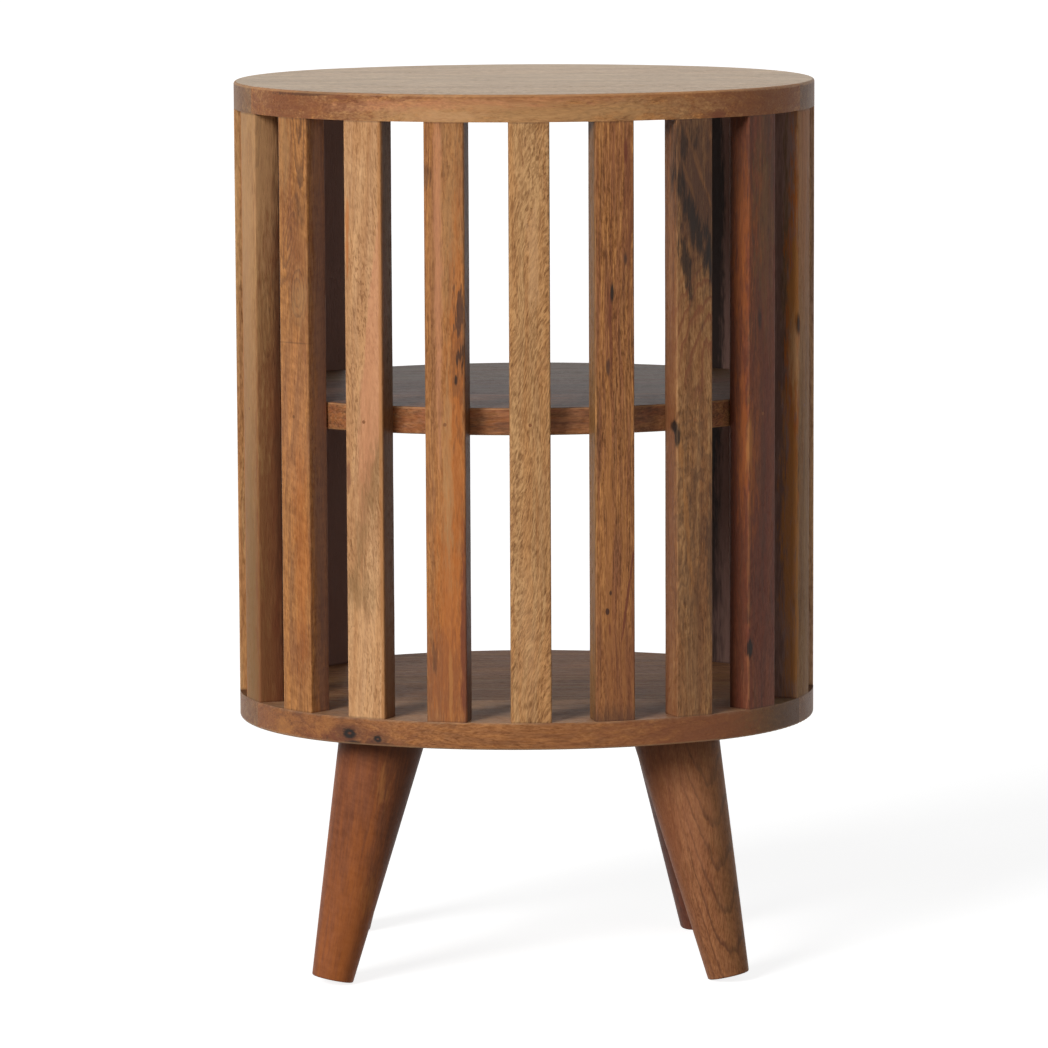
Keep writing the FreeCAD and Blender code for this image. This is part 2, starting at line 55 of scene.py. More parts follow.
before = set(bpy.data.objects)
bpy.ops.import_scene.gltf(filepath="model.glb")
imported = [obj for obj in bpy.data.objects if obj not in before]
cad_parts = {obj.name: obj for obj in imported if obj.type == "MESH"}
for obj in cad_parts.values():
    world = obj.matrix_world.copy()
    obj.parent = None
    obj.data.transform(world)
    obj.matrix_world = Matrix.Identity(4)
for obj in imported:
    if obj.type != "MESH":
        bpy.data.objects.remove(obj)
CAD_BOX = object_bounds()

MM = 0.001
SLAT_COUNT = 15
MIDDLE_SLAT = (SLAT_COUNT + 1) // 2
BASE_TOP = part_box("base_board_middle")[1].z
TOP_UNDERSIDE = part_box("top_board_middle")[0].z

# How finely a slat is made, and how its edges are worn.
SLAT_RINGS = 70
SLAT_CUTS = 4
EDGE_STEPS = 3
BORE_SIDES = 24
WORN_BAND = 2.5 * MM
DENT = (0.009, 0.009, 0.03)
SHARP_ANGLE = math.radians(40)

# The sizes of the sidebar that shape a slat.
SLAT_SIZES = ("slat_width", "slat_thickness", "slat_round", "slat_wear", "dowel_bore", "dowel_reach",
              "filler_bore")

# Places on a slat in millimetres: across from the middle of its face, and up from its foot.
LEFT, RIGHT = -13.75, 13.75
SLAT_MIDDLE, STRIPE_REACH = 200, 420
SLAT_FOOT, SLAT_HEAD = 0, 405

# Each piece of wood is cut from its own part of the same endless pattern.
SEED_STEP = (17.3, 41.9, 263.7)
BOARD_SEED, LEG_SEED, DOWEL_SEED, FILLER_SEED = 20, 40, 50, 60

# How far a face looks up or down, from 0 to 1: between which two values a level face begins, where
# its painted tone is laid, and a board's rounded edge begins and ends, where a painted highlight is laid.
LEVEL_BEGINS, EDGE_BEGINS, EDGE_ENDS = (0.85, 0.98), (0.1, 0.5), (0.8, 0.97)
# How strongly the painted highlight lightens a board's rounded edge.
EDGE_HIGHLIGHT = 0.35

# Fine scratches and stains of the metal, in metres.
SCRATCH, STAIN = (0.0002, 0.0002, 0.002), (0.006, 0.006, 0.006)
SCRATCH_DEPTH = 0.02 * MM
STAIN_SHADE = 0.6

# The lamps shine from these directions. The camera's angles are in radians.
KEY_FROM, KEY_SPREAD = (-0.62, -0.74, 0.5), math.radians(24)
FILL_FROM, FILL_SPREAD = (0.8, -0.6, 0.25), math.radians(60)
CAMERA_PLACE = Vector((-84.4, -4253.7, 904)) * MM
CAMERA_YAW, CAMERA_PITCH, CAMERA_ROLL = 0.0195, 0.1398, -0.0046
LENS, SENSOR = 212.13, 36
NEAREST, FARTHEST = 0.1, 500


def length(name, description, millimetres):
    """A size property of the sidebar, kept in metres."""
    return bpy.props.FloatProperty(
        name=name, description=description, default=millimetres * MM,
        subtype="DISTANCE", unit="LENGTH", min=0, precision=4,
    )


def tone(name, description, red, green, blue):
    """A wood tone of the sidebar, written as it is seen on a screen, 0 to 255."""
    return bpy.props.FloatVectorProperty(
        name=name, description=description, default=(red / 255, green / 255, blue / 255),
        subtype="COLOR_GAMMA", size=3, min=0, max=1,
    )


def share(name, description, default, highest=1.0):
    """A plain number of the sidebar."""
    return bpy.props.FloatProperty(
        name=name, description=description, default=default, min=0, max=highest,
    )


class TableSizes(bpy.types.PropertyGroup):
    """Sizes of the slatted ring and of the finish."""

    side_bow: length("Side bow", "How far the long sides bulge past their ends", 15)
    slat_pitch: length("Slat pitch", "From slat to slat along the rim", 57.5)
    end_slat_shift: length("End slat shift", "How much further round the last slat each side is", 6)
    slat_width: length("Slat width", "Width of a slat's outer face", 27.5)
    slat_thickness: length("Slat thickness", "From a slat's outer face to its inner face", 18.5)
    slat_round: length("Slat edge", "Radius of a slat's eased long edges", 1.1)
    slat_wear: length("Edge wear", "How far a slat's long edges wander where they were sanded", 0.35)
    dowel_bore: length("Dowel bore", "Diameter of the dowel holes in a slat's ends", 8.1)
    dowel_reach: length("Dowel reach", "Depth of the dowel holes in a slat's ends", 25)
    filler_bore: length("Filler bore", "Diameter of the filled hole at the shelf's height", 2.4)
    pore_depth: length("Pore depth", "Depth of the open grain", 0.12)


class TableTones(bpy.types.PropertyGroup):
    """The tones that the pieces of wood are mixed from, and the two metals."""

    straw: tone("Straw", "Pale yellow sapwood", 211, 162, 115)
    khaki: tone("Khaki", "Pale tan", 188, 142, 94)
    fawn: tone("Fawn", "Greyed tan", 176, 134, 90)
    honey: tone("Honey", "Orange tan", 182, 122, 68)
    amber: tone("Amber", "Bright orange brown", 190, 108, 46)
    rose: tone("Rose", "Pinkish tan", 212, 146, 106)
    tan: tone("Tan", "Mid brown", 154, 104, 64)
    olive: tone("Olive", "Greenish brown", 124, 96, 58)
    chestnut: tone("Chestnut", "Reddish brown", 128, 76, 50)
    russet: tone("Russet", "Deep red brown", 110, 58, 42)
    umber: tone("Umber", "Dark brown", 78, 53, 41)
    dusk: tone("Dusk", "Greyed pale brown", 158, 127, 118)
    # Soot also stands as painted shade: on some slats' sides, on the inner face of the last slat and on
    # the shelf's top.
    soot: tone("Soot", "Near black heartwood", 36, 28, 24)
    # Laid as painted light: the painted sheen of the top's level faces, and pale painted light on the
    # base's top.
    ash: tone("Ash", "Bleached wood of a level face", 196, 171, 141)
    steel: tone("Steel", "Zinc plated steel", 200, 200, 198)
    brass: tone("Brass", "Turned brass", 214, 178, 104)


class StudioSettings(bpy.types.PropertyGroup):
    """Lamps, floor and sky."""

    key_light: share("Key light", "Level of the large soft lamp at the front left", 0.77, 10)
    fill_light: share("Fill light", "Level of the weak soft lamp at the front right", 0.07, 10)
    sky: share("Sky", "Level of the even light from all round", 0.2)
    floor_glow: share("Floor white", "What the floor shows the camera without any light", 0.84)
    floor_shade: share("Floor shade", "The floor's own grey, as it is seen on a screen", 0.7)
    floor_size: length("Floor size", "Side of the square floor", 120000)


class Wood(NamedTuple):
    """How one piece of wood looks: its tones, its grain and the marks on it. Lengths in millimetres.

    Streaks, rings, figure, strokes, fibres and flecks are strengths. The rings run round the heart,
    which drifts into the piece by lean. slant leans the figure, and tilt the strokes and flecks. The
    level values lay a painted tone over faces that lie level: a painted sheen on the top, painted
    shade on the shelf and on the base's middle board, and pale painted light on the base's other boards.
    """

    ground: str
    streak: str
    deep: str
    streaks: float = 0.7
    streak_width: float = 6
    rings: float = 0.35
    ring_width: float = 5
    heart: tuple = (25, 45)
    lean: float = 0.03
    figure: float = 0.3
    slant: float = 0.3
    strokes: float = 0.9
    fibres: float = 0.8
    flecks: float = 0.7
    tilt: float = 0.0
    waviness: float = 5
    gloss: float = 0.2
    level: str = "ash"
    level_share: float = 0.0
    level_gloss: float = 0.2
    arcs: tuple = ()
    marks: tuple = ()
    knots: tuple = ()


GRAIN_TONES = ("ground", "streak", "deep")
GRAIN_NUMBERS = ("streaks", "streak_width", "rings", "ring_width", "lean", "figure", "slant", "strokes",
                 "fibres", "flecks", "tilt", "waviness")


class Mark(NamedTuple):
    """A patch of another tone: its middle and half sizes across, into and along the piece.

    soft is how widely its rim fades, and ragged is how far the fibres pull that rim about.
    """

    tone: str
    place: tuple
    size: tuple
    strength: float = 0.8
    soft: float = 0.35
    ragged: float = 0.5
    turn: float = 0


class Arcs(NamedTuple):
    """Growth rings cut at a low angle, round a place, as far out as its half sizes.

    They are a nest of ovals, or, with a bowl of 1, bowls stacked up along the grain.
    """

    tone: str
    place: tuple
    size: tuple
    strength: float = 0.5
    lines: float = 4
    bowl: float = 0
    turn: float = 0


class Knot(NamedTuple):
    """A small dark knot that the grain swells round: its middle and its radius."""

    place: tuple
    radius: float

    def sized(self, *shares):
        """Half sizes across, into and along the piece, given as shares of the radius."""
        return tuple(self.radius * share for share in shares)


def smudge(tone, place, size, strength, ragged=1.2, turn=0):
    """A mark that fades away at its rim."""
    return Mark(tone, place, size, strength, 0.8, ragged, turn)


def stripe(tone, place, size, strength=0.8, **rim):
    """A mark that runs up a whole slat: its middle and half sizes across and into the slat."""
    return Mark(tone, (*place, SLAT_MIDDLE), (*size, STRIPE_REACH), strength, **rim)


def board_ends(left, right):
    """The dark ends of a board, with the strength of each."""
    return tuple(
        Mark("umber", (0, 0, end), (20, 90, 40), strength, soft=0.5)
        for end, strength in ((-205, left), (205, right))
    )


# Painted light: a greyed pale tone over the inner face of the slats at the ends of the open back, where
# little light reaches.
BACK_PAINTED_LIGHT = Mark("dusk", (0, 19, SLAT_MIDDLE), (40, 6, 900), 0.85, soft=0.2, ragged=0.2)

# The slats are counted from the left end of the open back, round the front, to its right end.
SLAT_WOODS = {
    1: Wood("tan", "chestnut", "umber", marks=(BACK_PAINTED_LIGHT,)),
    2: Wood("umber", "chestnut", "soot"),
    3: Wood("khaki", "honey", "chestnut", streaks=0.6, flecks=1.0, marks=(
        stripe("umber", (0, 18.5), (20, 8), ragged=0.4),
    )),
    4: Wood("fawn", "khaki", "chestnut", streaks=0.5, rings=0.35, ring_width=4, heart=(6, 12), lean=0.05,
            strokes=0.6, gloss=0.06, marks=(
        smudge("tan", (0, 0, -20), (40, 14, 260), 0.8, ragged=0.5),
        Mark("olive", (0, 0, -40), (40, 8, 170), 0.5, soft=0.9),
        Mark("chestnut", (14, 10, -40), (10, 20, 170), 0.3, soft=0.9),
        Mark("olive", (2, 0, 120), (6, 6, 110), 0.5, soft=0.9, ragged=1.2),
        stripe("amber", (-13.7, 0), (2.2, 3), 0.7),
        Mark("straw", (0, 0, 340), (12, 8, 150), 0.4, soft=0.9),
        Mark("chestnut", (14, 12, 60), (5, 13, 280), 0.55, soft=0.6, ragged=1.4),
        Mark("russet", (14, 18, 120), (5, 7, 300), 0.5, soft=0.6, ragged=0.8),
        smudge("straw", (14, 6, 376), (4, 12, 64), 0.55),
        smudge("khaki", (14, 8, 262), (4, 5, 26), 0.4),
        smudge("umber", (14, 17, 240), (4, 3, 190), 0.5, ragged=1.6),
    ), arcs=(
        Arcs("umber", (14, 1, 408), (5, 7, 66), 0.8, lines=3),
        Arcs("umber", (14, 9, 262), (6, 7, 34), 0.8, lines=3),
    )),
    5: Wood("honey", "tan", "umber", streaks=0.6, rings=0.3, figure=1.0, slant=0.5, strokes=0.9,
            flecks=0.9, marks=(
        smudge("chestnut", (3, 0, 306), (8, 8, 50), 0.4, ragged=2, turn=8),
        smudge("khaki", (6, 0, 283), (7, 6, 15), 0.45, ragged=1.6),
        Mark("khaki", (-7, 0, 385), (5, 6, 30), 0.4, ragged=1.2),
        Mark("rose", (0, 0, 196), (14, 4, 52), 0.15, soft=0.4, ragged=0.6),
        Mark("umber", (0, 0, 252.6), (17, 6, 0.5), 0.4, soft=0.7, ragged=0.3, turn=1),
        Mark("russet", (3, 0, 42), (8, 6, 20), 0.35, soft=0.9, ragged=1.2),
        smudge("amber", (6, 0, 110), (6, 6, 60), 0.4, ragged=1),
        stripe("dusk", (14, 14), (4, 8), 0.5, soft=0.8, ragged=0.6),
    ), arcs=(
        Arcs("umber", (6.5, 0, 412), (9, 20, 88), 0.6, lines=3.3, turn=2),
        Arcs("umber", (5, 0, 286), (9, 12, 24), 0.7, lines=4),
        Arcs("umber", (-3, 0, 322), (8, 12, 40), 0.5, lines=3.5, turn=-14),
    )),
    6: Wood("straw", "honey", "chestnut", streaks=0.4, strokes=0.6, fibres=0.5, flecks=1.2, tilt=0.1,
            rings=0.2, marks=(
        Mark("rose", (11, 0, 262), (9, 9, 118), 0.65, soft=0.15, ragged=0.3, turn=-6),
        smudge("honey", (-4, 0, 395), (14, 6, 16), 0.2, ragged=1),
        Mark("amber", (-11.3, 0, 330), (1.3, 4, 26), 0.6, ragged=1),
        smudge("tan", (2, 0, 150), (13, 6, 50), 0.4, ragged=1.4, turn=-14),
        Mark("olive", (9, 0, 168), (3, 6, 34), 0.35, soft=0.9, ragged=2.4, turn=-8),
        Mark("olive", (-3, 0, 124), (3, 6, 30), 0.35, soft=0.9, ragged=2.4, turn=-8),
        Mark("olive", (-3, 0, 86), (10, 6, 12), 0.4, soft=0.9, ragged=1.6),
        Mark("russet", (-12, 0, 165), (1.6, 5, 9), 0.6, ragged=1),
        stripe("honey", (13.2, 2), (2.0, 5), 0.6),
        # Painted shade down the slat's right side.
        stripe("soot", (14.2, 11), (2, 9.5), 0.7, soft=0.2, ragged=0.2),
        smudge("tan", (14.2, 11, 20), (2, 12, 130), 0.5, ragged=0.4),
    )),
    7: Wood("honey", "tan", "chestnut", streaks=0.8, streak_width=4, rings=0.4, ring_width=6, flecks=0.9,
            fibres=1.1, marks=(
        Mark("rose", (-4, 0, 320), (2.6, 8, 110), 0.6, soft=0.6, ragged=0.8),
        smudge("khaki", (5, 0, 340), (6, 8, 70), 0.45),
        smudge("amber", (9, 0, 300), (3, 8, 60), 0.35),
        Mark("amber", (8, 0, 205), (6, 8, 90), 0.6, soft=0.7, ragged=0.9),
        Mark("khaki", (2, 0, 150), (3, 8, 70), 0.6, soft=0.6, ragged=0.9),
        Mark("umber", (10, 0, 280), (2.4, 7, 16), 0.85, ragged=2),
        Mark("soot", (11, 0, 250), (2.6, 5, 8), 0.85, ragged=1.8),
        Mark("umber", (8.5, 0, 246), (3.5, 6, 30), 0.45, soft=0.6, ragged=2.2),
        Mark("soot", (7.4, 0, 232), (1.2, 3, 3.6), 0.9, ragged=1),
        Mark("umber", (-11, 0, 369), (2.4, 4, 7), 0.5, ragged=1.2),
        smudge("amber", (4, 0, 60), (12, 7, 70), 0.65),
        smudge("chestnut", (-1, 0, 24), (15, 7, 34), 0.6, ragged=1.5),
        Mark("russet", (12.5, 0, 60), (2.6, 6, 70), 0.8, ragged=0.8),
        Mark("umber", (-8.5, 0, 42), (1.8, 4, 11), 0.5, ragged=1.4),
        Mark("honey", (3, 0, 22), (1.2, 5, 26), 0.7, ragged=0.8),
        # Painted shade down the slat's right side.
        stripe("soot", (14.4, 10), (2, 8.5), 0.7, soft=0.2, ragged=0.2),
    )),
    8: Wood("khaki", "honey", "chestnut", streaks=0.45, strokes=1.5, fibres=0.5, flecks=1.1, tilt=-0.3,
            figure=0.4, rings=0.15, ring_width=7, waviness=9, marks=(
        Mark("straw", (2, 0, 318), (4, 8, 34), 0.5, ragged=1.2),
        Mark("straw", (-2, 0, 60), (6, 8, 40), 0.3, soft=0.7, ragged=1.2),
    )),
    9: Wood("honey", "chestnut", "umber", streaks=0.85, streak_width=2.2, rings=0.35, ring_width=3,
            waviness=2.5, strokes=1.6, fibres=2.3, flecks=1.4, marks=(
        stripe("tan", (0, 0), (16, 6), 0.2, ragged=0.3),
        Mark("honey", (-4, 0, 110), (2.2, 6, 120), 0.5, ragged=0.8),
        Mark("honey", (6, 0, 90), (1.6, 6, 90), 0.5, ragged=0.8),
        Mark("chestnut", (11, 0, 355), (4, 4, 44), 0.6, ragged=1.2),
        Mark("russet", (7.6, 0, 386), (1.2, 4, 8), 0.8, ragged=0.8),
        Mark("russet", (-3, 0, 262), (1.8, 5, 30), 0.6, ragged=1.2),
        Mark("umber", (-5, 0, 241), (1.2, 4, 5), 0.8, ragged=0.8),
        stripe("olive", (-14, 10), (1.5, 12), 0.5, ragged=0.4),
        Mark("soot", (-1.8, 0, 290), (1.3, 4, 6), 0.95, soft=0.5),
        Mark("umber", (7.4, 0, 313), (1.1, 3, 3.4), 0.9, soft=0.6),
        Mark("soot", (-5.7, 0, 75), (1.3, 3, 2.4), 1, soft=0.25, ragged=0.2),
        Mark("soot", (-3.4, 0, 87.5), (0.9, 3, 1.6), 0.9, soft=0.4, ragged=0.2),
        Mark("russet", (-4, 0, 62), (0.8, 3, 5), 0.8, ragged=0.6),
        Mark("russet", (8.0, 0, 82), (0.8, 6, 36), 0.9, ragged=0.9, turn=-8),
        Mark("chestnut", (4, 0, 20), (18, 6, 60), 0.5, soft=0.9, ragged=0.7),
        smudge("umber", (0, 0, -1), (24, 10, 9), 0.6, ragged=0.9),
    )),
    10: Wood("tan", "khaki", "umber", streaks=0.5, rings=0.3, figure=0.6, slant=-0.7, strokes=0.9,
             flecks=1.1, arcs=(
        Arcs("chestnut", (16, 0, 262), (40, 20, 60), 0.85, lines=5, bowl=0.6, turn=180),
        Arcs("umber", (-24, 0, 120), (46, 20, 120), 0.4, lines=8, turn=-20),
    ), marks=(
        stripe("chestnut", (LEFT, 12), (1.5, 11), 0.35, ragged=0.3),
        smudge("chestnut", (LEFT, 14, 120), (2, 9, 200), 0.4),
        smudge("umber", (4, 0, 384), (16, 14, 44), 0.65, ragged=1.1),
        Mark("umber", (1, 0, 352), (18, 14, 56), 0.85, soft=0.7, ragged=1.1, turn=10),
        Mark("soot", (0, 0, 334), (5, 10, 38), 0.9, soft=0.6, ragged=1.3, turn=20),
        Mark("soot", (-6, 0, 304), (3, 8, 19), 0.85, soft=0.5, ragged=1.8, turn=10),
        Mark("soot", (12, 0, 312), (3.4, 10, 18), 0.9, soft=0.5, ragged=1.6, turn=8),
        Mark("soot", (-7, 0, 390), (6, 10, 9), 0.7, soft=0.7, ragged=2, turn=-20),
        Mark("tan", (3, 0, 372), (1.2, 8, 26), 0.25, soft=0.7, ragged=1.6, turn=20),
        Mark("tan", (8, 0, 358), (0.9, 8, 22), 0.25, soft=0.7, ragged=1.6, turn=22),
        Mark("tan", (-5, 0, 364), (1, 8, 16), 0.25, soft=0.7, ragged=1.6, turn=20),
        Mark("honey", (-6, 0, 130), (1.6, 8, 50), 0.5, ragged=1.6, turn=5),
        Mark("umber", (12, 0, 105), (3, 6, 44), 0.6, ragged=1.6),
        Mark("umber", (1, 0, 60), (9, 6, 90), 0.45, soft=0.9, ragged=1.8),
        Mark("soot", (LEFT, 4, 198), (3, 4.5, 4), 0.95, ragged=0.6),
        Mark("soot", (-13, 0.8, 191), (2.4, 2.4, 6), 0.9, ragged=0.6),
    )),
    11: Wood("chestnut", "russet", "umber", streaks=0.8, rings=0.4, figure=0.8, slant=-0.9, strokes=1.1,
             marks=(
        smudge("olive", (2, 0, 330), (7, 4, 60), 0.5, ragged=1.6),
        smudge("russet", (4, 0, 190), (12, 4, 130), 0.5),
        smudge("umber", (9, 0, 380), (4, 4, 60), 0.5, ragged=2, turn=10),
        smudge("umber", (0, 0, 150), (3, 4, 70), 0.5, ragged=2.2),
        stripe("russet", (LEFT, 10), (3, 12), 0.5, ragged=1.6),
        Mark("amber", (-12, 6, 340), (7, 7, 30), 0.3, soft=0.9, ragged=2),
        Mark("amber", (-13, 9, 284), (5, 6, 22), 0.3, soft=0.9, ragged=2),
        Mark("amber", (-12, 5, 176), (7, 6, 36), 0.35, soft=0.9, ragged=2),
        Mark("honey", (-12.6, 0.4, 182), (2.2, 3, 16), 0.5, soft=0.6, ragged=1.4),
        Mark("honey", (-13.4, 0.4, 110), (1.2, 1, 90), 0.2, ragged=2.2),
        stripe("umber", (LEFT, 18), (3, 3), 0.3, soft=0.6, ragged=1.2),
        smudge("umber", (LEFT, 8, 378), (3, 9, 26), 0.4, ragged=1.4),
        smudge("umber", (LEFT, 11, 240), (3, 3, 60), 0.25, ragged=1.8),
        smudge("umber", (LEFT, 7, 70), (3, 4, 60), 0.25, ragged=1.8),
        Mark("soot", (-12, 0, 42), (2.2, 5, 6), 0.95, ragged=0.9),
        Mark("soot", (-3, 0, 268), (1.4, 5, 7), 0.7, soft=0.6, ragged=0.9),
    ), arcs=(
        Arcs("umber", (-2, 0, 400), (14, 10, 110), 0.5, lines=3),
        Arcs("umber", (LEFT, 3, 290), (12, 16, 110), 0.6, lines=5),
        Arcs("umber", (LEFT, 3, 110), (12, 16, 100), 0.5, lines=5),
    )),
    12: Wood("tan", "fawn", "umber", streaks=0.6, strokes=0.8, gloss=0.05, marks=(
        Mark("olive", (0, 0, 80), (16, 4, 130), 0.4, soft=0.9, ragged=0.8),
        Mark("rose", (0, 0, 370), (16, 4, 90), 0.3, soft=0.9, ragged=0.8),
        stripe("dusk", (LEFT, 12), (4, 10), 0.9, soft=0.35, ragged=0.6),
        smudge("olive", (LEFT, 9, 300), (3, 2.6, 70), 0.7, ragged=1.6),
        smudge("umber", (LEFT, 13, 200), (3, 3, 240), 0.4, ragged=1.8),
        Mark("amber", (LEFT, 3.4, 240), (3, 4.5, 96), 0.8, soft=0.6, ragged=1.4),
        Mark("honey", (LEFT, 3, 280), (3, 3.6, 32), 0.9, ragged=0.9),
        Mark("straw", (LEFT, 2.4, 236), (3, 3.4, 24), 0.8, soft=0.6, ragged=0.9),
        Mark("honey", (LEFT, 5, 120), (3, 6, 76), 0.85, soft=0.6, ragged=1.4),
        smudge("honey", (LEFT, 4, 30), (3, 5, 40), 0.7, ragged=1.4),
        Mark("soot", (-11.5, 0, 259), (2.4, 4, 7.5), 0.9, soft=0.5, ragged=0.5),
    )),
    13: Wood("straw", "dusk", "chestnut", streaks=0.6, rings=0.2),
    14: Wood("umber", "chestnut", "soot"),
    15: Wood("chestnut", "tan", "umber", marks=(
        BACK_PAINTED_LIGHT,
        # Painted shade: near-black sheets over the slat's inner face, where it lies in deep shade.
        Mark("soot", (5, 18.5, 300), (14, 4, 210), 0.9, soft=0.2, ragged=0.3),
        Mark("soot", (7, 18.5, 60), (13, 4, 110), 0.8, soft=0.5, ragged=0.6),
    )),
}

# Painted shadow where each slat meets the base and the top.
SLAT_END_SHADOWS = tuple(
    Mark("umber", (0, 9, end), (30, 30, 1), 0.4, soft=0.6, ragged=0.3) for end in (SLAT_FOOT, SLAT_HEAD)
)
# Painted highlights along both long edges of a slat's outer face.
SLAT_EDGE_HIGHLIGHTS = tuple(stripe("straw", (edge, 0), (0.9, 0.9), 0.2, soft=0.5) for edge in (LEFT, RIGHT))

# What lies level gets a painted tone, where the rims keep their own: a painted sheen on the top, painted
# shade on the shelf's top.
TOP_FACE = {"level_share": 0.85, "level_gloss": 0.5}
SHELF_FACE = {"level": "soot", "level_share": 0.55}

BOARD_WOODS = {
    "top_board_front": Wood("honey", "khaki", "chestnut", streaks=0.6, streak_width=7, heart=(-75, 10),
                            rings=0.45, ring_width=6, strokes=1.2, flecks=1.0, **TOP_FACE, marks=(
        Mark("rose", (-2, -36, -60), (4, 30, 120), 0.5, soft=0.6, ragged=0.9, turn=2),
        Mark("khaki", (3, -36, 10), (6, 30, 120), 0.7, soft=0.7, ragged=1.0, turn=1),
        smudge("straw", (6, -36, -56), (3, 30, 26), 0.5),
        Mark("chestnut", (0, -10, -172), (20, 70, 52), 0.8, soft=0.7, ragged=1.0),
        Mark("umber", (-7.5, 0, -146), (1.2, 60, 24), 0.7, ragged=1, turn=2),
        Mark("tan", (-8, 0, 15), (5, 60, 110), 0.6, soft=0.6, ragged=1.0),
        Mark("russet", (7, 0, 128), (3, 40, 5), 0.8, ragged=0.8),
        Mark("chestnut", (0, 0, 180), (20, 70, 70), 0.75, soft=0.7, ragged=0.8),
    ), arcs=(
        Arcs("russet", (-13, -20, -100), (17, 60, 60), 0.5, lines=3),
        Arcs("umber", (12, -20, 70), (22, 60, 80), 0.45, lines=5),
    )),
    "top_board_middle": Wood("fawn", "tan", "chestnut", streaks=0.6, heart=(-65, 10), flecks=0.6,
                             **TOP_FACE, marks=board_ends(0.55, 0.7)),
    "top_board_back": Wood("honey", "fawn", "tan", streaks=0.6, heart=(-80, 20), **TOP_FACE),
    # Through their level tones, the base's top carries pale painted light on its front and back boards,
    # and painted shade on the middle one.
    "base_board_front": Wood("tan", "honey", "umber", streaks=0.6, heart=(70, 5), rings=0.45, ring_width=6,
                             strokes=1.1, flecks=1.0, level_share=0.2, level_gloss=0.04, marks=(
        # Painted light: a pale band along the front of the base's top, where light falls in between the
        # slats.
        Mark("ash", (-9.25, 0, 0), (1.2, 70, 260), 0.3, soft=0.6, ragged=0.8),
        smudge("amber", (0, 0, 0), (30, 90, 150), 0.15, ragged=0.5),
        smudge("chestnut", (0, 0, -150), (30, 90, 60), 0.4),
        Mark("honey", (-1, 0, -140), (6, 40, 7), 0.45, soft=0.6, ragged=1.2, turn=30),
        Mark("honey", (3, 0, -168), (8, 60, 6), 0.5, soft=0.7, ragged=1.2),
        Mark("chestnut", (-3, 0, -182), (10, 60, 7), 0.5, soft=0.7, ragged=1.2),
        smudge("russet", (6, -22, -132), (7, 20, 30), 0.6, ragged=1.6),
        Mark("umber", (9, -22, -116), (2.6, 20, 26), 0.7, soft=0.6, ragged=1.6),
        Mark("soot", (8, -22, -119), (1.6, 20, 4), 0.9, ragged=0.6),
        smudge("chestnut", (0, 0, 120), (20, 60, 80), 0.8, ragged=0.8),
        smudge("olive", (0, 30, 175), (20, 40, 26), 0.6, ragged=0.8),
        smudge("umber", (0, 40, 185), (20, 40, 26), 0.75, ragged=0.6),
    ), arcs=(
        Arcs("umber", (-12, -10, -150), (30, 60, 40), 0.5, lines=4),
        Arcs("umber", (10, -10, 20), (22, 60, 90), 0.35, lines=5),
    ), knots=(Knot((1.6, -17, -122.8), 4), Knot((4.4, -26, -103.7), 2.4))),
    "base_board_middle": Wood("tan", "fawn", "chestnut", heart=(-65, 20), level="umber", level_share=0.3,
                              level_gloss=0.04, marks=board_ends(0.5, 0.65)),
    "base_board_back": Wood("tan", "chestnut", "umber", heart=(-70, 10), level_share=0.12,
                            level_gloss=0.04),
    "shelf_board_front": Wood("tan", "chestnut", "umber", heart=(-70, -10), rings=0.5, streaks=0.8,
                              strokes=1.4, figure=0.9, **SHELF_FACE, marks=(
        Mark("amber", (0, 0, -70), (12, 60, 60), 0.3, soft=0.9, ragged=2.2),
        Mark("rose", (0, 0, 20), (12, 60, 60), 0.3, soft=0.9, ragged=2.2),
        Mark("umber", (-4, 0, 60), (5, 60, 24), 0.5, soft=0.9, ragged=2.2),
        Mark("umber", (5, 0, -20), (5, 60, 24), 0.5, soft=0.9, ragged=2.2),
    )),
    "shelf_board_middle": Wood("chestnut", "olive", "umber", heart=(-65, 0), **SHELF_FACE),
    "shelf_board_back": Wood("olive", "chestnut", "umber", heart=(-70, 10), **SHELF_FACE),
}

# Painted shadow round the top of each leg, under the base.
LEG_TOP_SHADOWS = smudge("umber", (0, 0, 178), (80, 80, 15), 0.6, ragged=0.5)

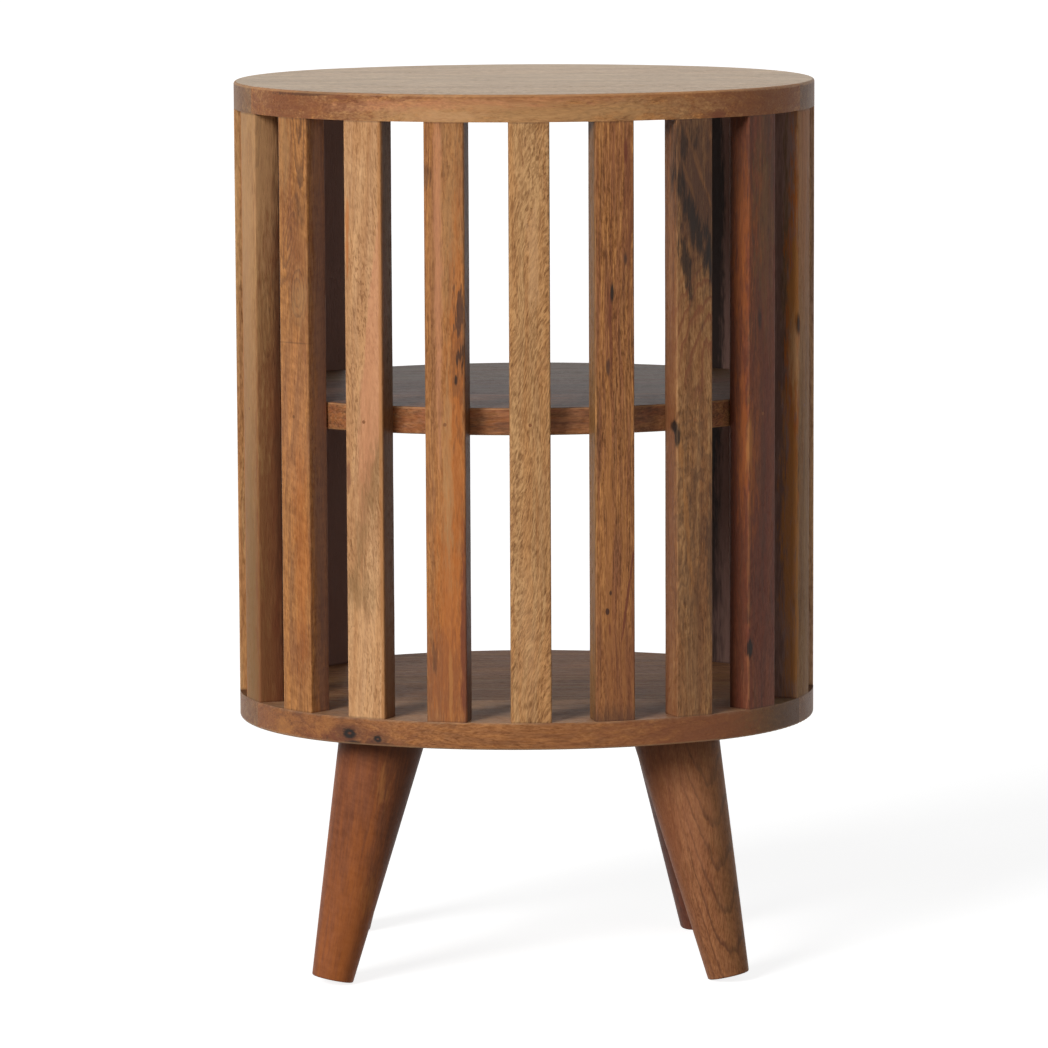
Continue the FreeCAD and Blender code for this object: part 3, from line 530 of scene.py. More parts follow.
LEG_WOODS = {
    "leg_front_left": Wood("chestnut", "amber", "russet", streaks=0.2, rings=0.15, figure=0.8, strokes=0.3,
                           fibres=0.25, flecks=0.3, heart=(45, 10), gloss=0.1, marks=(
        Mark("amber", (-4, -20, 20), (14, 30, 70), 0.35, soft=0.9, ragged=1),
        # Painted shade down the side of the leg away from the key light, over the darker streaks that side
        # has.
        smudge("umber", (24, 0, 150), (18, 40, 110), 0.7, ragged=0.8),
        Mark("honey", (4, -25, 138), (3, 20, 9), 0.4, soft=0.9, ragged=2.4),
        Mark("honey", (5, -20, 66), (3, 20, 9), 0.3, soft=0.9, ragged=2.4),
        LEG_TOP_SHADOWS,
    )),
    "leg_front_right": Wood("tan", "chestnut", "umber", streaks=0.5, rings=0.3, ring_width=7, waviness=8,
                            heart=(22, -52), lean=0.16, strokes=1.5, flecks=0.8, figure=1.2, slant=0.8,
                            tilt=-0.35, gloss=0.1, arcs=(
        Arcs("soot", (17, -10, 90), (28, 60, 130), 0.8, lines=4.3, bowl=1),
    ), marks=(
        Mark("chestnut", (0, 0, 100), (60, 60, 200), 0.4, ragged=0.5),
        Mark("rose", (2, -20, 130), (16, 30, 60), 0.2, soft=0.9, ragged=1.4),
        Mark("chestnut", (-20, 0, 100), (10, 60, 120), 0.6, soft=0.7, ragged=0.9),
        Mark("olive", (24, 0, 110), (12, 60, 130), 0.25, soft=0.7, ragged=0.8),
        LEG_TOP_SHADOWS,
    )),
    "leg_back_right": Wood("russet", "chestnut", "umber", streaks=0.5, marks=(LEG_TOP_SHADOWS,)),
    "leg_back_left": Wood("chestnut", "tan", "umber", streaks=0.5, heart=(-40, 15), marks=(LEG_TOP_SHADOWS,)),
}


def linear(colour):
    """A screen colour as the linear colour that shaders work in, with its alpha."""
    def channel(value):
        return value / 12.92 if value <= 0.04045 else ((value + 0.055) / 1.055) ** 2.4
    return (*(channel(value) for value in colour), 1.0)


def named_tone(name):
    """The linear colour of one of the sidebar's wood tones."""
    return linear(getattr(bpy.context.scene.table_tones, name))


class Graph:
    """Adds nodes to a tree. Any value given to a node is a number, a colour or another node's output."""

    def __init__(self, tree):
        self.tree = tree

    def add(self, kind, inputs=None, output=0, **settings):
        """One node with its settings and its inputs, by name or by number; returns an output."""
        node = self.tree.nodes.new(kind)
        for name, setting in settings.items():
            setattr(node, name, setting)
        self.fill(node, inputs or {})
        return node.outputs[output]

    def fill(self, node, inputs):
        """Gives a node its inputs."""
        for name, value in inputs.items():
            if isinstance(value, bpy.types.NodeSocket):
                self.tree.links.new(value, node.inputs[name])
            else:
                node.inputs[name].default_value = value

    def surface(self, shader, kind="ShaderNodeOutputMaterial"):
        """Ends the tree in a shader."""
        self.tree.links.new(shader, self.tree.nodes.new(kind).inputs["Surface"])

    def math(self, operation, *values):
        return self.add("ShaderNodeMath", dict(enumerate(values)), operation=operation)

    def plus(self, first, second):
        return self.math("ADD", first, second)

    def less(self, first, second):
        return self.math("SUBTRACT", first, second)

    def times(self, first, second):
        return self.math("MULTIPLY", first, second)

    def times_plus(self, first, second, added):
        return self.math("MULTIPLY_ADD", first, second, added)

    def vector_math(self, operation, *values, output=0):
        return self.add("ShaderNodeVectorMath", dict(enumerate(values)), output, operation=operation)

    def scaled(self, vector, factor):
        return self.add("ShaderNodeVectorMath", {0: vector, "Scale": factor}, operation="SCALE")

    def noise(self, vector, size, detail=2, roughness=0.5, output=0):
        """Noise with grains of that size."""
        spot = self.vector_math("DIVIDE", vector, size)
        inputs = {"Vector": spot, "Scale": 1, "Detail": detail, "Roughness": roughness}
        return self.add("ShaderNodeTexNoise", inputs, output)

    def ramp(self, value, low, high, out_low=0, out_high=1):
        """A smooth step from low to high."""
        inputs = {0: value, 1: low, 2: high, 3: out_low, 4: out_high}
        return self.add("ShaderNodeMapRange", inputs, interpolation_type="SMOOTHSTEP")

    def mix(self, factor, first, second, blend="MIX"):
        inputs = {0: factor, 6: first, 7: second}
        return self.add("ShaderNodeMix", inputs, 2, data_type="RGBA", blend_type=blend)

    def parts(self, vector):
        node = self.tree.nodes.new("ShaderNodeSeparateXYZ")
        self.tree.links.new(vector, node.inputs[0])
        return node.outputs

    def joined(self, x, y, z):
        return self.add("ShaderNodeCombineXYZ", {0: x, 1: y, 2: z})

    def group(self, group, inputs):
        """A node group; returns all its outputs."""
        node = self.tree.nodes.new("ShaderNodeGroup")
        node.node_tree = group
        self.fill(node, inputs)
        return node.outputs

    def results(self, outputs):
        """Ends a group in its results; returns the group."""
        self.fill(self.tree.nodes.new("NodeGroupOutput"), outputs)
        return self.tree


def label(name):
    """The name of a node's input that takes the value of that name."""
    return name.replace("_", " ").title()


def new_group(name, inputs, outputs, kind="ShaderNodeTree"):
    """An empty node group; returns its graph and what it is given."""
    tree = bpy.data.node_groups.new(name, kind)
    for in_out, sockets in (("INPUT", inputs), ("OUTPUT", outputs)):
        for title, socket in sockets.items():
            tree.interface.new_socket(title, in_out=in_out, socket_type=f"NodeSocket{socket}")
    return Graph(tree), tree.nodes.new("NodeGroupInput").outputs


def grain_group():
    """Plain grown wood along Z: growth rings round a heart, streaks, fibres, figure and open pores.

    The grains of its noise are in millimetres, across, into and along the wood.
    """
    inputs = {"Vector": "Vector", "Heart": "Vector", "Seed": "Float"}
    inputs.update({label(name): "Color" for name in GRAIN_TONES})
    inputs.update({label(name): "Float" for name in GRAIN_NUMBERS})
    outputs = {"Colour": "Color", "Light": "Color", "Roughness": "Float", "Height": "Float"}
    g, given = new_group("wood grain", inputs, outputs)
    away = g.vector_math("MULTIPLY", g.joined(*[given["Seed"]] * 3), SEED_STEP)
    place = g.vector_math("ADD", given["Vector"], away)

    def pattern(spot, size, low, high, **settings):
        """Noise with grains of that size, sharpened: nought below low and one above high."""
        return g.ramp(g.noise(spot, size, **settings), low, high)

    def wander(grain, amount):
        """A drift of the fibres sideways, slower along the grain than across it."""
        drift = g.noise(place, grain, detail=1, output=1)
        centred = g.vector_math("SUBTRACT", drift, (0.5, 0.5, 0.5))
        return g.scaled(centred, g.times(given["Waviness"], amount))

    drift = g.vector_math("ADD", wander((42, 42, 170), 3.2), wander((9, 9, 46), 0.55))
    bent = g.vector_math("ADD", place, drift)
    own = g.parts(g.vector_math("ADD", given["Vector"], drift))
    heart = g.parts(given["Heart"])
    across = g.less(own[0], heart[0])
    into = g.less(own[1], g.times_plus(given["Lean"], own[2], heart[1]))
    radius = g.math("SQRT", g.plus(g.math("POWER", across, 2), g.math("POWER", into, 2)))
    uneven = g.noise(place, (55, 55, 420))
    count = g.times_plus(uneven, 3.0, g.math("DIVIDE", radius, given["Ring Width"]))
    phase = g.math("FRACT", count)
    late = g.times(g.ramp(phase, 0.25, 0.9), g.ramp(phase, 0.9, 1.0, 1, 0))
    faded = pattern(bent, (16, 16, 120), 0.3, 0.65)
    rings = g.times(g.times(late, faded), given["Rings"])

    wide = g.times(given["Streak Width"], 34)
    stretch = g.joined(given["Streak Width"], given["Streak Width"], wide)
    streak = pattern(bent, stretch, 0.38, 0.62, detail=4, roughness=0.6)
    streaks = g.times(streak, given["Streaks"])
    line = pattern(bent, (1.3, 1.3, 70), 0.5, 0.66)
    lines = g.times(line, given["Streaks"])

    bent_parts = g.parts(bent)
    crossed = g.times_plus(bent_parts[0], given["Slant"], bent_parts[2])
    folded = g.joined(bent_parts[0], bent_parts[1], crossed)
    sheared = g.times_plus(bent_parts[2], given["Tilt"], bent_parts[0])
    tilted = g.joined(sheared, bent_parts[1], bent_parts[2])
    cloud = pattern(bent, (20, 20, 80), 0.25, 0.75, detail=3)
    curl = pattern(folded, (8, 8, 4), 0.3, 0.7, detail=3, roughness=0.6)
    stroke = pattern(tilted, (1.25, 1.25, 6.5), 0.36, 0.64, roughness=0.6)
    fibre = pattern(bent, (0.95, 0.95, 30), 0.34, 0.66, roughness=0.6)
    light = 1.0
    for shade, amount in (
        (cloud, 0.25),
        (curl, g.times(given["Figure"], 0.3)),
        (stroke, g.times(given["Strokes"], 0.34)),
        (fibre, g.times(given["Fibres"], 0.26)),
    ):
        light = g.times_plus(g.less(shade, 0.5), amount, light)

    crowd = g.ramp(g.noise(bent, (11, 11, 60)), 0.3, 0.65, 0.35, 1)
    fine = pattern(tilted, (0.8, 0.8, 3.2), 0.56, 0.64, detail=1, roughness=0.4)
    coarse = pattern(tilted, (1.15, 1.15, 6), 0.6, 0.66, detail=1, roughness=0.4)
    pore = g.math("MAXIMUM", g.times(fine, 0.7), coarse)
    pores = g.times(pore, g.times(crowd, given["Flecks"]))
    light = g.math("MAXIMUM", g.times_plus(pores, -0.34, light), 0.3)
    warm = g.vector_math("POWER", g.joined(light, light, light), (0.88, 1.05, 1.22))

    colour = g.mix(streaks, given["Ground"], given["Streak"])
    colour = g.mix(g.times(lines, 0.4), colour, given["Deep"])
    colour = g.mix(rings, colour, given["Deep"])
    colour = g.mix(1.0, colour, warm, "MULTIPLY")
    rough = g.times_plus(pores, 0.16, g.times_plus(fibre, 0.1, 0.44))
    raised = g.times_plus(fibre, 0.2, g.times_plus(rings, -0.2, 0.8))
    height = g.less(raised, g.times(pores, 0.8))
    return g.results({"Colour": colour, "Light": warm, "Roughness": rough, "Height": height})


PATCH_SOCKETS = {float: "Float", str: "Color", tuple: "Vector"}


def patch_group(name, patch):
    """A group that lays a Mark or Arcs over wood, a point's place in it, and how far out that is.

    Both are in half sizes of the patch.
    """
    inputs = {label(field): PATCH_SOCKETS[kind] for field, kind in patch.__annotations__.items()}
    g, given = new_group(name, {"Vector": "Vector", "Colour": "Color", **inputs}, {"Colour": "Color"})
    offset = g.vector_math("SUBTRACT", given["Vector"], given["Place"])
    rotation = {"Vector": offset, "Angle": given["Turn"]}
    turned = g.add("ShaderNodeVectorRotate", rotation, rotation_type="Y_AXIS")
    sized = g.vector_math("DIVIDE", turned, given["Size"])
    return g, given, sized, g.vector_math("LENGTH", sized, output=1)


def mark_group():
    """Lays a patch of another tone over wood. Its rim follows the fibres and is ragged."""
    g, given, _, reach = patch_group("wood mark", Mark)
    wood = g.vector_math("ADD", given["Vector"], g.scaled(given["Place"], 3.7))
    patches = g.noise(wood, (4, 4, 26), roughness=0.6)
    fibres = g.noise(wood, (1.2, 1.2, 11), roughness=0.6)
    rim = g.times_plus(g.less(fibres, 0.5), 0.9, g.less(patches, 0.5))
    ragged = g.times_plus(rim, g.times(given["Ragged"], 2), reach)
    low, high = g.less(1, given["Soft"]), g.plus(1, given["Soft"])
    mask = g.times(g.ramp(ragged, low, high, 1, 0), given["Strength"])
    return g.results({"Colour": g.mix(mask, given["Colour"], given["Tone"])})


def arcs_group():
    """Draws a nest of uneven ovals or a stack of uneven bowls, thin and dark at their outer rims."""
    g, given, sized, reach = patch_group("wood arcs", Arcs)
    across, _, along = g.parts(sized)
    stacked = g.less(g.math("POWER", across, 2), along)
    measure = g.add("ShaderNodeMix", {0: given["Bowl"], 2: reach, 3: stacked})
    wood = g.vector_math("ADD", given["Vector"], g.scaled(given["Place"], 2.3))
    wobble = g.noise(wood, (7, 7, 24), detail=3)
    tremor = g.noise(wood, (1.1, 1.1, 3))
    calm = g.times_plus(given["Bowl"], -0.6, 1)
    uneven = g.times_plus(g.times(wobble, 0.5), calm, measure)
    count = g.times(given["Lines"], uneven)
    phase = g.math("FRACT", g.times_plus(g.times(tremor, 0.35), calm, count))
    early = g.times_plus(given["Bowl"], 0.35, 0.3)
    late = g.times(g.ramp(phase, early, 0.88), g.ramp(phase, 0.88, 1, 1, 0))
    mask = g.times(g.times(late, g.ramp(reach, 0.6, 1.1, 1, 0)), given["Strength"])
    return g.results({"Colour": g.mix(mask, given["Colour"], given["Tone"])})


def knot_group():
    """Spreads the grain round a knot, so that its lines swell past it."""
    inputs = dict.fromkeys(("Vector", "Place", "Size"), "Vector")
    g, given = new_group("wood swell", inputs, {"Vector": "Vector"})
    offset = g.vector_math("SUBTRACT", given["Vector"], given["Place"])
    reach = g.vector_math("LENGTH", g.vector_math("DIVIDE", offset, given["Size"]), output=1)
    hold = g.math("EXPONENT", g.times(g.math("POWER", reach, 2), -1))
    kept = g.times_plus(hold, -0.85, 1)
    spread = g.vector_math("MULTIPLY", offset, g.joined(kept, kept, 1))
    return g.results({"Vector": g.vector_math("ADD", given["Place"], spread)})


def shared_group(name, make):
    """The node group of that name, made at its first use."""
    return bpy.data.node_groups.get(name) or make()


def node_material(name):
    """A new material, and the empty graph of its nodes."""
    material = bpy.data.materials.new(name)
    material.use_nodes = True
    material.node_tree.nodes.clear()
    return material, Graph(material.node_tree)


def knot_marks(knot):
    """The dark bark round a knot, the knot itself and its paler heart."""
    return (
        Mark("umber", knot.place, knot.sized(1.5, 6, 2.4), 0.5, soft=0.8),
        Mark("soot", knot.place, knot.sized(0.9, 4, 1.1), 1, ragged=0.4),
        Mark("chestnut", knot.place, knot.sized(0.2, 4, 0.3), 0.5, soft=0.6, ragged=0.6),
    )


def laid_over(g, colour, place, patch, group):
    """That colour with a Mark or Arcs laid over it."""
    values = {label(field): value for field, value in patch._asdict().items()}
    values |= {"Vector": place, "Colour": colour}
    values |= {"Tone": named_tone(patch.tone), "Turn": math.radians(patch.turn)}
    return g.group(group, values)["Colour"]


def wood_material(name, wood, seed, turn=Euler(), origin=(0, 0, 0)):
    """The material of one piece of wood.

    turn and origin bring a point of the table, in millimetres, to the piece's own place: across, into
    and along its grain.
    """
    material, g = node_material(name)
    shift = turn.to_matrix() @ Vector(origin)
    place = g.add("ShaderNodeMapping", {
        "Vector": g.add("ShaderNodeTexCoord", output="Object"),
        "Scale": (1 / MM, 1 / MM, 1 / MM), "Rotation": turn, "Location": -shift,
    })
    swollen = place
    marks = wood.marks
    for knot in wood.knots:
        swollen = g.group(shared_group("wood swell", knot_group), {
            "Vector": swollen, "Place": knot.place, "Size": knot.sized(2.2, 6, 4),
        })["Vector"]
        marks += knot_marks(knot)
    grown = g.group(shared_group("wood grain", grain_group), {
        "Vector": swollen, "Seed": seed, "Heart": (*wood.heart, 0),
        **{label(name): named_tone(getattr(wood, name)) for name in GRAIN_TONES},
        **{label(name): getattr(wood, name) for name in GRAIN_NUMBERS},
    })
    colour = grown["Colour"]
    for arcs in wood.arcs:
        colour = laid_over(g, colour, swollen, arcs, shared_group("wood arcs", arcs_group))
    for mark in marks:
        colour = laid_over(g, colour, place, mark, shared_group("wood mark", mark_group))
    gloss = wood.gloss
    # Faces that lie level get a painted tone: a painted sheen on the top, painted shade on the shelf and
    # on the base's middle board, and pale painted light on the base's other boards.
    if wood.level_share:
        upward = g.math("ABSOLUTE", g.parts(g.add("ShaderNodeTexCoord", output="Normal"))[2])
        lying = g.ramp(upward, *LEVEL_BEGINS)
        painted_level_tone = g.mix(1.0, named_tone(wood.level), grown["Light"], "MULTIPLY")
        colour = g.mix(g.times(lying, wood.level_share), colour, painted_level_tone)
        gloss = g.times_plus(lying, wood.level_gloss - wood.gloss, wood.gloss)
        # A painted highlight along the rounded edges of a board.
        edge = g.less(g.ramp(upward, *EDGE_BEGINS), g.ramp(upward, *EDGE_ENDS))
        colour = g.mix(g.times(edge, EDGE_HIGHLIGHT), colour, named_tone("straw"))
    bump = g.add("ShaderNodeBump", {
        "Height": grown["Height"], "Strength": 1, "Distance": bpy.context.scene.table_sizes.pore_depth,
    })
    g.surface(g.add("ShaderNodeBsdfPrincipled", {
        "Base Color": colour, "Roughness": grown["Roughness"], "Normal": bump, "Specular IOR Level": gloss,
    }))
    return material


def dress(node, material):
    """Gives a CAD node its material."""
    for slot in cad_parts[node].material_slots:
        slot.material = material


def rim_place(number):
    """Where a slat stands: its outer face's middle (x, y), its turn about Z and the rim's radius there."""
    sizes = bpy.context.scene.table_sizes
    half_width, half_depth = CAD_BOX[1].x, CAD_BOX[1].y
    end_radius = half_depth - sizes.side_bow
    end_x = half_width - end_radius
    side_y = (end_x**2 - sizes.side_bow**2) / (2 * sizes.side_bow)
    side_radius = side_y + half_depth
    side_angle = math.atan2(end_x, side_y)
    along = (number - MIDDLE_SLAT) * sizes.slat_pitch
    if number in (1, SLAT_COUNT):
        along += math.copysign(sizes.end_slat_shift, along)
    past = abs(along) - side_radius * side_angle
    if past <= 0:
        middle, radius, turn = Vector((0, side_y)), side_radius, along / side_radius
    else:
        side = math.copysign(1, along)
        middle, radius = Vector((side * end_x, 0)), end_radius
        turn = side * (side_angle + past / end_radius)
    return middle + radius * Vector((math.sin(turn), -math.cos(turn))), turn, radius


def slat_tree():
    """A slat: a section with eased edges and a bowed outer face, run up a line and bored at its ends."""
    numbers = (*map(label, SLAT_SIZES), "Length", "Rim Radius", "Seed", "Turn", "Filler Height")
    inputs = {**dict.fromkeys(numbers, "Float"), "Place": "Vector", "Material": "Material"}
    g, given = new_group("slat", inputs, {"Geometry": "Geometry"}, "GeometryNodeTree")

    rise = g.joined(0, 0, given["Length"])
    line = g.add("GeometryNodeCurvePrimitiveLine", {"Start": (0, 0, 0), "End": rise})
    line = g.add("GeometryNodeResampleCurve", {"Curve": line, "Count": SLAT_RINGS})
    width, thickness = given["Slat Width"], given["Slat Thickness"]
    section = g.add("GeometryNodeCurvePrimitiveQuadrilateral", {"Width": width, "Height": thickness})
    section = g.add("GeometryNodeSubdivideCurve", {"Curve": section, "Cuts": SLAT_CUTS})
    section = g.add("GeometryNodeFilletCurve", {
        "Curve": section, "Count": EDGE_STEPS, "Radius": given["Slat Round"],
    }, mode="POLY")
    bar = g.add("GeometryNodeCurveToMesh", {"Curve": line, "Profile Curve": section, "Fill Caps": True})

    place = g.add("GeometryNodeInputPosition")
    x, y, _ = g.parts(place)
    half_width, half_thickness = g.math("DIVIDE", width, 2), g.math("DIVIDE", thickness, 2)
    outer = g.less(0.5, g.math("DIVIDE", y, thickness))
    bow = g.math("DIVIDE", g.times(x, x), g.times(given["Rim Radius"], 2))
    bowed = g.times_plus(bow, outer, half_thickness)

    def near(value, edge):
        """One at an edge of the section, nought a worn band away from it."""
        return g.ramp(g.math("ABSOLUTE", value), g.less(edge, WORN_BAND), edge)

    seeded = g.vector_math("ADD", place, g.joined(*[given["Seed"]] * 3))
    dents = g.noise(seeded, DENT, detail=3)
    at_edge = g.times(near(x, half_width), near(y, half_thickness))
    worn = g.times(at_edge, g.times(dents, given["Slat Wear"]))
    inwards = g.joined(g.times(x, -1), g.times(y, -1), 0)
    inwards = g.vector_math("NORMALIZE", inwards)
    offset = g.vector_math("ADD", g.scaled(inwards, worn), g.joined(0, bowed, 0))
    bar = g.add("GeometryNodeSetPosition", {"Geometry": bar, "Offset": offset})

    def bore(diameter, depth, middle, turn=(0, 0, 0)):
        """The round space that a drill leaves, with its middle at a place."""
        drill = g.add("GeometryNodeMeshCylinder", {
            "Vertices": BORE_SIDES, "Radius": g.math("DIVIDE", diameter, 2), "Depth": depth,
        })
        return g.add("GeometryNodeTransform", {"Geometry": drill, "Translation": middle, "Rotation": turn})

    reach = g.times(given["Dowel Reach"], 2)
    bores = (
        bore(given["Dowel Bore"], reach, g.joined(0, half_thickness, 0)),
        bore(given["Dowel Bore"], reach, g.joined(0, half_thickness, given["Length"])),
        bore(given["Filler Bore"], g.times(thickness, 2),
             g.joined(0, half_thickness, given["Filler Height"]), (math.pi / 2, 0, 0)),
    )
    joined = g.tree.nodes.new("GeometryNodeJoinGeometry")
    for hole in bores:
        g.tree.links.new(hole, joined.inputs[0])
    bar = g.add("GeometryNodeMeshBoolean", {"Mesh 1": bar, "Mesh 2": joined.outputs[0]}, solver="EXACT")

    bar = g.add("GeometryNodeSetShadeSmooth", {"Geometry": bar, "Shade Smooth": True})
    sharp = g.math("GREATER_THAN", g.add("GeometryNodeInputMeshEdgeAngle"), SHARP_ANGLE)
    bar = g.add("GeometryNodeSetShadeSmooth", {
        "Geometry": bar, "Selection": sharp, "Shade Smooth": False,
    }, domain="EDGE")
    stood = g.add("GeometryNodeTransform", {
        "Geometry": bar, "Translation": given["Place"], "Rotation": g.joined(0, 0, given["Turn"]),
    })
    real = g.add("GeometryNodeRealizeInstances", {"Geometry": stood})
    done = g.add("GeometryNodeSetMaterial", {"Geometry": real, "Material": given["Material"]})
    return g.results({"Geometry": done})


def made_by_nodes(name, tree, values):
    """Runs a Geometry Nodes tree once and keeps what it makes as a plain mesh."""
    piece = bpy.data.objects.new(name, bpy.data.meshes.new(name))
    bpy.context.scene.collection.objects.link(piece)
    nodes = piece.modifiers.new("make", "NODES")
    nodes.node_group = tree
    for item in tree.interface.items_tree:
        if item.in_out == "INPUT":
            nodes[item.identifier] = values[item.name]
    normals = piece.modifiers.new("even normals", "WEIGHTED_NORMAL")
    normals.keep_sharp = True
    depsgraph = bpy.context.evaluated_depsgraph_get()
    mesh = bpy.data.meshes.new_from_object(piece.evaluated_get(depsgraph))
    piece.modifiers.clear()
    piece.data = mesh
    return piece


class TABLE_OT_boards(bpy.types.Operator):
    """Give the top, the shelf and the base their boards of wood, with the grain along the table"""

    bl_idname = "table.boards"
    bl_label = "Boards"

    def execute(self, context):
        along_table = Euler((0, -math.pi / 2, 0))
        for seed, (node, wood) in enumerate(BOARD_WOODS.items(), start=BOARD_SEED):
            middle = sum(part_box(node), Vector()) / 2 / MM
            dress(node, wood_material(node, wood, seed, along_table, (0, middle.y, middle.z)))
        return {"FINISHED"}


class TABLE_OT_slats(bpy.types.Operator):
    """Make the ring of slats, each of its own wood"""

    bl_idname = "table.slats"
    bl_label = "Slats"

    def execute(self, context):
        sizes = context.scene.table_sizes
        tree = slat_tree()
        fillers = sum(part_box("brad_fillers"), Vector()) / 2
        for number, wood in SLAT_WOODS.items():
            node = f"slat_{number:02}"
            (x, y), turn, radius = rim_place(number)
            foot = Vector((x, y, BASE_TOP))
            wood = wood._replace(marks=wood.marks + SLAT_EDGE_HIGHLIGHTS + SLAT_END_SHADOWS)
            material = wood_material(node, wood, number, Euler((0, 0, -turn)), foot / MM)
            slat = made_by_nodes(f"{node}_wood", tree, {
                **{label(name): getattr(sizes, name) for name in SLAT_SIZES},
                "Length": TOP_UNDERSIDE - BASE_TOP, "Filler Height": fillers.z - BASE_TOP,
                "Rim Radius": radius, "Seed": float(number), "Turn": turn, "Place": foot,
                "Material": material,
            })
            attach(slat, "root")
            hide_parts(node)
        return {"FINISHED"}


class TABLE_OT_legs(bpy.types.Operator):
    """Give each turned leg its wood, with the grain along the leg"""

    bl_idname = "table.legs"
    bl_label = "Legs"

    def execute(self, context):
        for seed, (node, wood) in enumerate(LEG_WOODS.items(), start=LEG_SEED):
            top, foot = leg_ends(node)
            turn = (top - foot).rotation_difference(Vector((0, 0, 1))).to_euler()
            dress(node, wood_material(node, wood, seed, turn, foot / MM))
        return {"FINISHED"}


def leg_ends(node):
    """The middles of a leg's top and of its foot, from the lowest and highest points of its node."""
    points = [vertex.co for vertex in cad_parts[node].data.vertices]
    low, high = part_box(node)
    ends = []
    for height in (high.z, low.z):
        ring = [point for point in points if abs(point.z - height) < MM]
        ends.append(sum(ring, Vector()) / len(ring))
    return ends


class TABLE_OT_dowels(bpy.types.Operator):
    """Give the dowels between the slats and the boards their wood"""

    bl_idname = "table.dowels"
    bl_label = "Dowels"

    def execute(self, context):
        wood = Wood("straw", "khaki", "tan", streaks=0.4, rings=0.2, flecks=0.3)
        for seed, node in enumerate(("slat_dowels_top", "slat_dowels_base"), start=DOWEL_SEED):
            dress(node, wood_material(node, wood, seed))
        return {"FINISHED"}


class TABLE_OT_fixings(bpy.types.Operator):
    """Give the brads, their fillers, the hanger bolts and the inserts their finish"""

    bl_idname = "table.fixings"
    bl_label = "Fixings"

    def execute(self, context):
        filler = Wood("tan", "chestnut", "umber", flecks=0.2, rings=0.1)
        dress("brad_fillers", wood_material("brad_fillers", filler, FILLER_SEED))
        dress("shelf_brads", metal_material("bright steel", "steel"))
        dress("leg_hanger_bolts", metal_material("plated steel", "steel"))
        dress("leg_inserts", metal_material("turned brass", "brass"))
        return {"FINISHED"}


class TABLE_OT_studio(bpy.types.Operator):
    """Set up the pale floor, the soft lamps, the even sky and the camera"""

    bl_idname = "table.studio"
    bl_label = "Studio"

    def execute(self, context):
        settings = context.scene.table_studio
        add_floor(settings)
        add_sky(settings)
        add_sun("key light", settings.key_light, KEY_FROM, KEY_SPREAD)
        add_sun("fill light", settings.fill_light, FILL_FROM, FILL_SPREAD)
        add_camera()
        context.scene.view_settings.view_transform = "Standard"
        return {"FINISHED"}


def seen_directly(g):
    """One for the rays that show a surface to the camera, directly, mirrored or through glass."""
    path = g.tree.nodes.new("ShaderNodeLightPath").outputs
    seen = g.math("MAXIMUM", path["Is Camera Ray"], path["Is Glossy Ray"])
    return g.math("MAXIMUM", seen, path["Is Transmission Ray"])


def add_floor(settings):
    """A square floor under the feet, pale in any light."""
    half = settings.floor_size / 2
    mesh = bpy.data.meshes.new("floor")
    corners = [(-half, -half, 0), (half, -half, 0), (half, half, 0), (-half, half, 0)]
    mesh.from_pydata(corners, [], [(0, 1, 2, 3)])
    floor = bpy.data.objects.new("floor", mesh)
    bpy.context.scene.collection.objects.link(floor)
    material, g = node_material("pale floor")
    matt = g.add("ShaderNodeBsdfDiffuse", {"Color": linear([settings.floor_shade] * 3)})
    glow = g.add("ShaderNodeEmission", {"Strength": g.times(seen_directly(g), settings.floor_glow)})
    g.surface(g.add("ShaderNodeAddShader", {0: matt, 1: glow}))
    mesh.materials.append(material)


def add_sky(settings):
    """Even light from all round, white wherever it is seen."""
    world = bpy.data.worlds.new("even sky")
    world.use_nodes = True
    world.node_tree.nodes.clear()
    g = Graph(world.node_tree)
    strength = g.math("MAXIMUM", seen_directly(g), settings.sky)
    sky = g.add("ShaderNodeBackground", {"Color": (1, 1, 1, 1), "Strength": strength})
    g.surface(sky, "ShaderNodeOutputWorld")
    bpy.context.scene.world = world


def add_sun(name, level, came_from, spread):
    """A soft lamp far away. At level 1 a white card that faces it looks white."""
    lamp = bpy.data.lights.new(name, "SUN")
    lamp.energy = level * math.pi
    lamp.angle = spread
    holder = bpy.data.objects.new(name, lamp)
    holder.rotation_euler = Vector(came_from).to_track_quat("Z", "Y").to_euler()
    bpy.context.scene.collection.objects.link(holder)


def add_camera():
    """A long lens at the height of a seated eye, a little left of the table's front."""
    camera = bpy.data.cameras.new("camera")
    camera.sensor_width = SENSOR
    camera.lens = LENS
    camera.clip_start, camera.clip_end = NEAREST, FARTHEST
    holder = bpy.data.objects.new("camera", camera)
    holder.matrix_world = (
        Matrix.Translation(CAMERA_PLACE)
        @ Matrix.Rotation(-CAMERA_YAW, 4, "Z")
        @ Matrix.Rotation(math.pi / 2 - CAMERA_PITCH, 4, "X")
        @ Matrix.Rotation(CAMERA_ROLL, 4, "Z")
    )
    bpy.context.scene.collection.objects.link(holder)
    bpy.context.scene.camera = holder


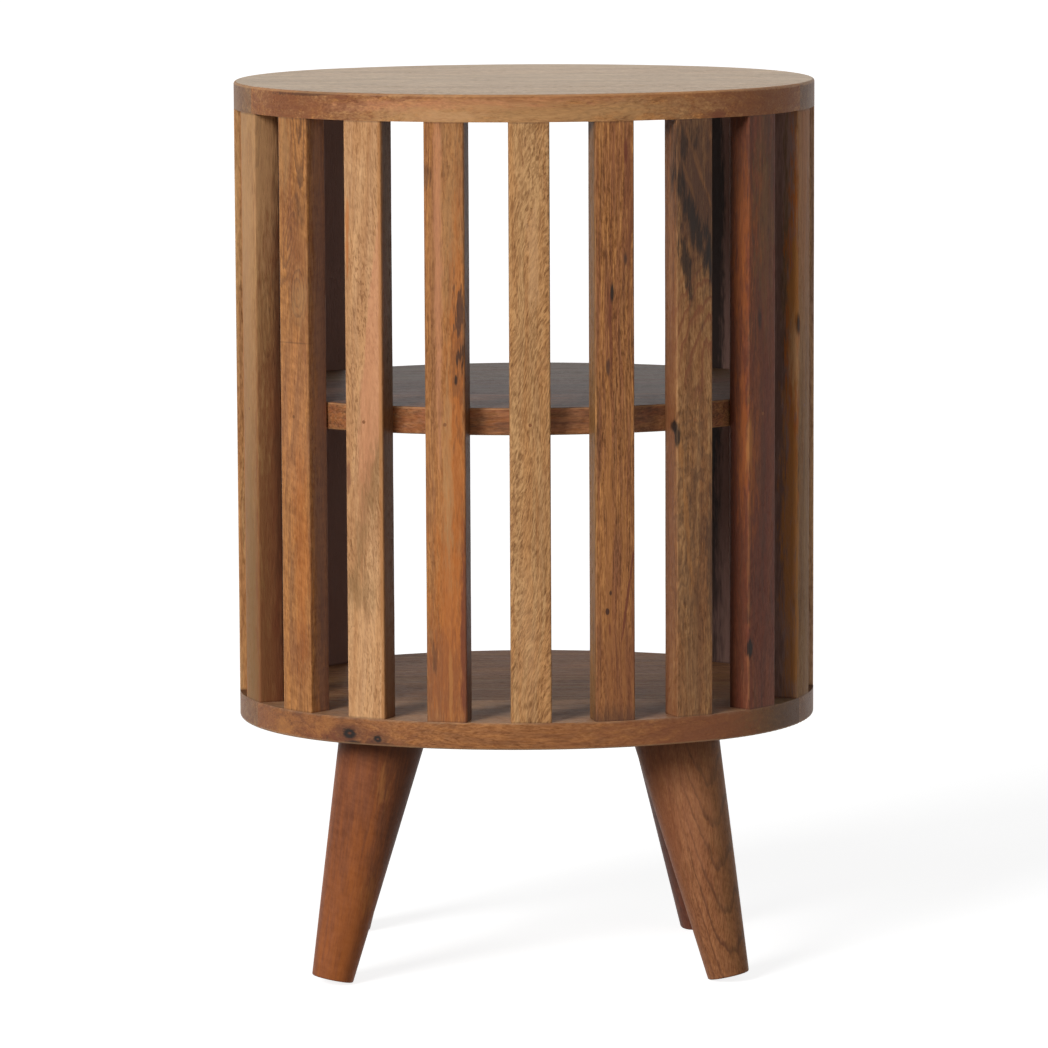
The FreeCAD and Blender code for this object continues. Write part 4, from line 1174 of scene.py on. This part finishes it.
def metal_material(name, tone_name):
    """Turned or drawn metal with fine scratches."""
    material, g = node_material(name)
    place = g.add("ShaderNodeTexCoord", output="Object")
    scratch = g.noise(place, SCRATCH, detail=3)
    stain = g.noise(place, STAIN)
    dark = tuple(channel * STAIN_SHADE for channel in named_tone(tone_name)[:3]) + (1,)
    colour = g.mix(g.ramp(stain, 0.35, 0.75), named_tone(tone_name), dark)
    rough = g.times_plus(scratch, 0.2, 0.2)
    bump = g.add("ShaderNodeBump", {"Height": scratch, "Strength": 0.3, "Distance": SCRATCH_DEPTH})
    g.surface(g.add("ShaderNodeBsdfPrincipled", {
        "Base Color": colour, "Roughness": rough, "Normal": bump, "Metallic": 1,
    }))
    return material


OPERATORS = (TABLE_OT_boards, TABLE_OT_slats, TABLE_OT_legs, TABLE_OT_dowels, TABLE_OT_fixings,
             TABLE_OT_studio)


class TABLE_PT_sidebar(bpy.types.Panel):
    """The table's pieces, tones and studio in the 3D view's sidebar"""

    bl_idname = "TABLE_PT_sidebar"
    bl_label = "End Table"
    bl_space_type = "VIEW_3D"
    bl_region_type = "UI"
    bl_category = "End Table"

    def draw(self, context):
        for operator in OPERATORS:
            self.layout.operator(operator.bl_idname)
        for group in (context.scene.table_sizes, context.scene.table_tones, context.scene.table_studio):
            box = self.layout.box()
            for name in group.__annotations__:
                box.prop(group, name)


GROUPS = {"table_sizes": TableSizes, "table_tones": TableTones, "table_studio": StudioSettings}
CLASSES = (*GROUPS.values(), *OPERATORS, TABLE_PT_sidebar)


def register():
    for kind in CLASSES:
        bpy.utils.register_class(kind)
    for name, group in GROUPS.items():
        setattr(bpy.types.Scene, name, bpy.props.PointerProperty(type=group))


def unregister():
    for name in GROUPS:
        delattr(bpy.types.Scene, name)
    for kind in reversed(CLASSES):
        bpy.utils.unregister_class(kind)


def main():
    register()
    bpy.ops.table.boards()
    bpy.ops.table.slats()
    bpy.ops.table.legs()
    bpy.ops.table.dowels()
    bpy.ops.table.fixings()
    bpy.ops.table.studio()


if __name__ == "__main__":
    main()
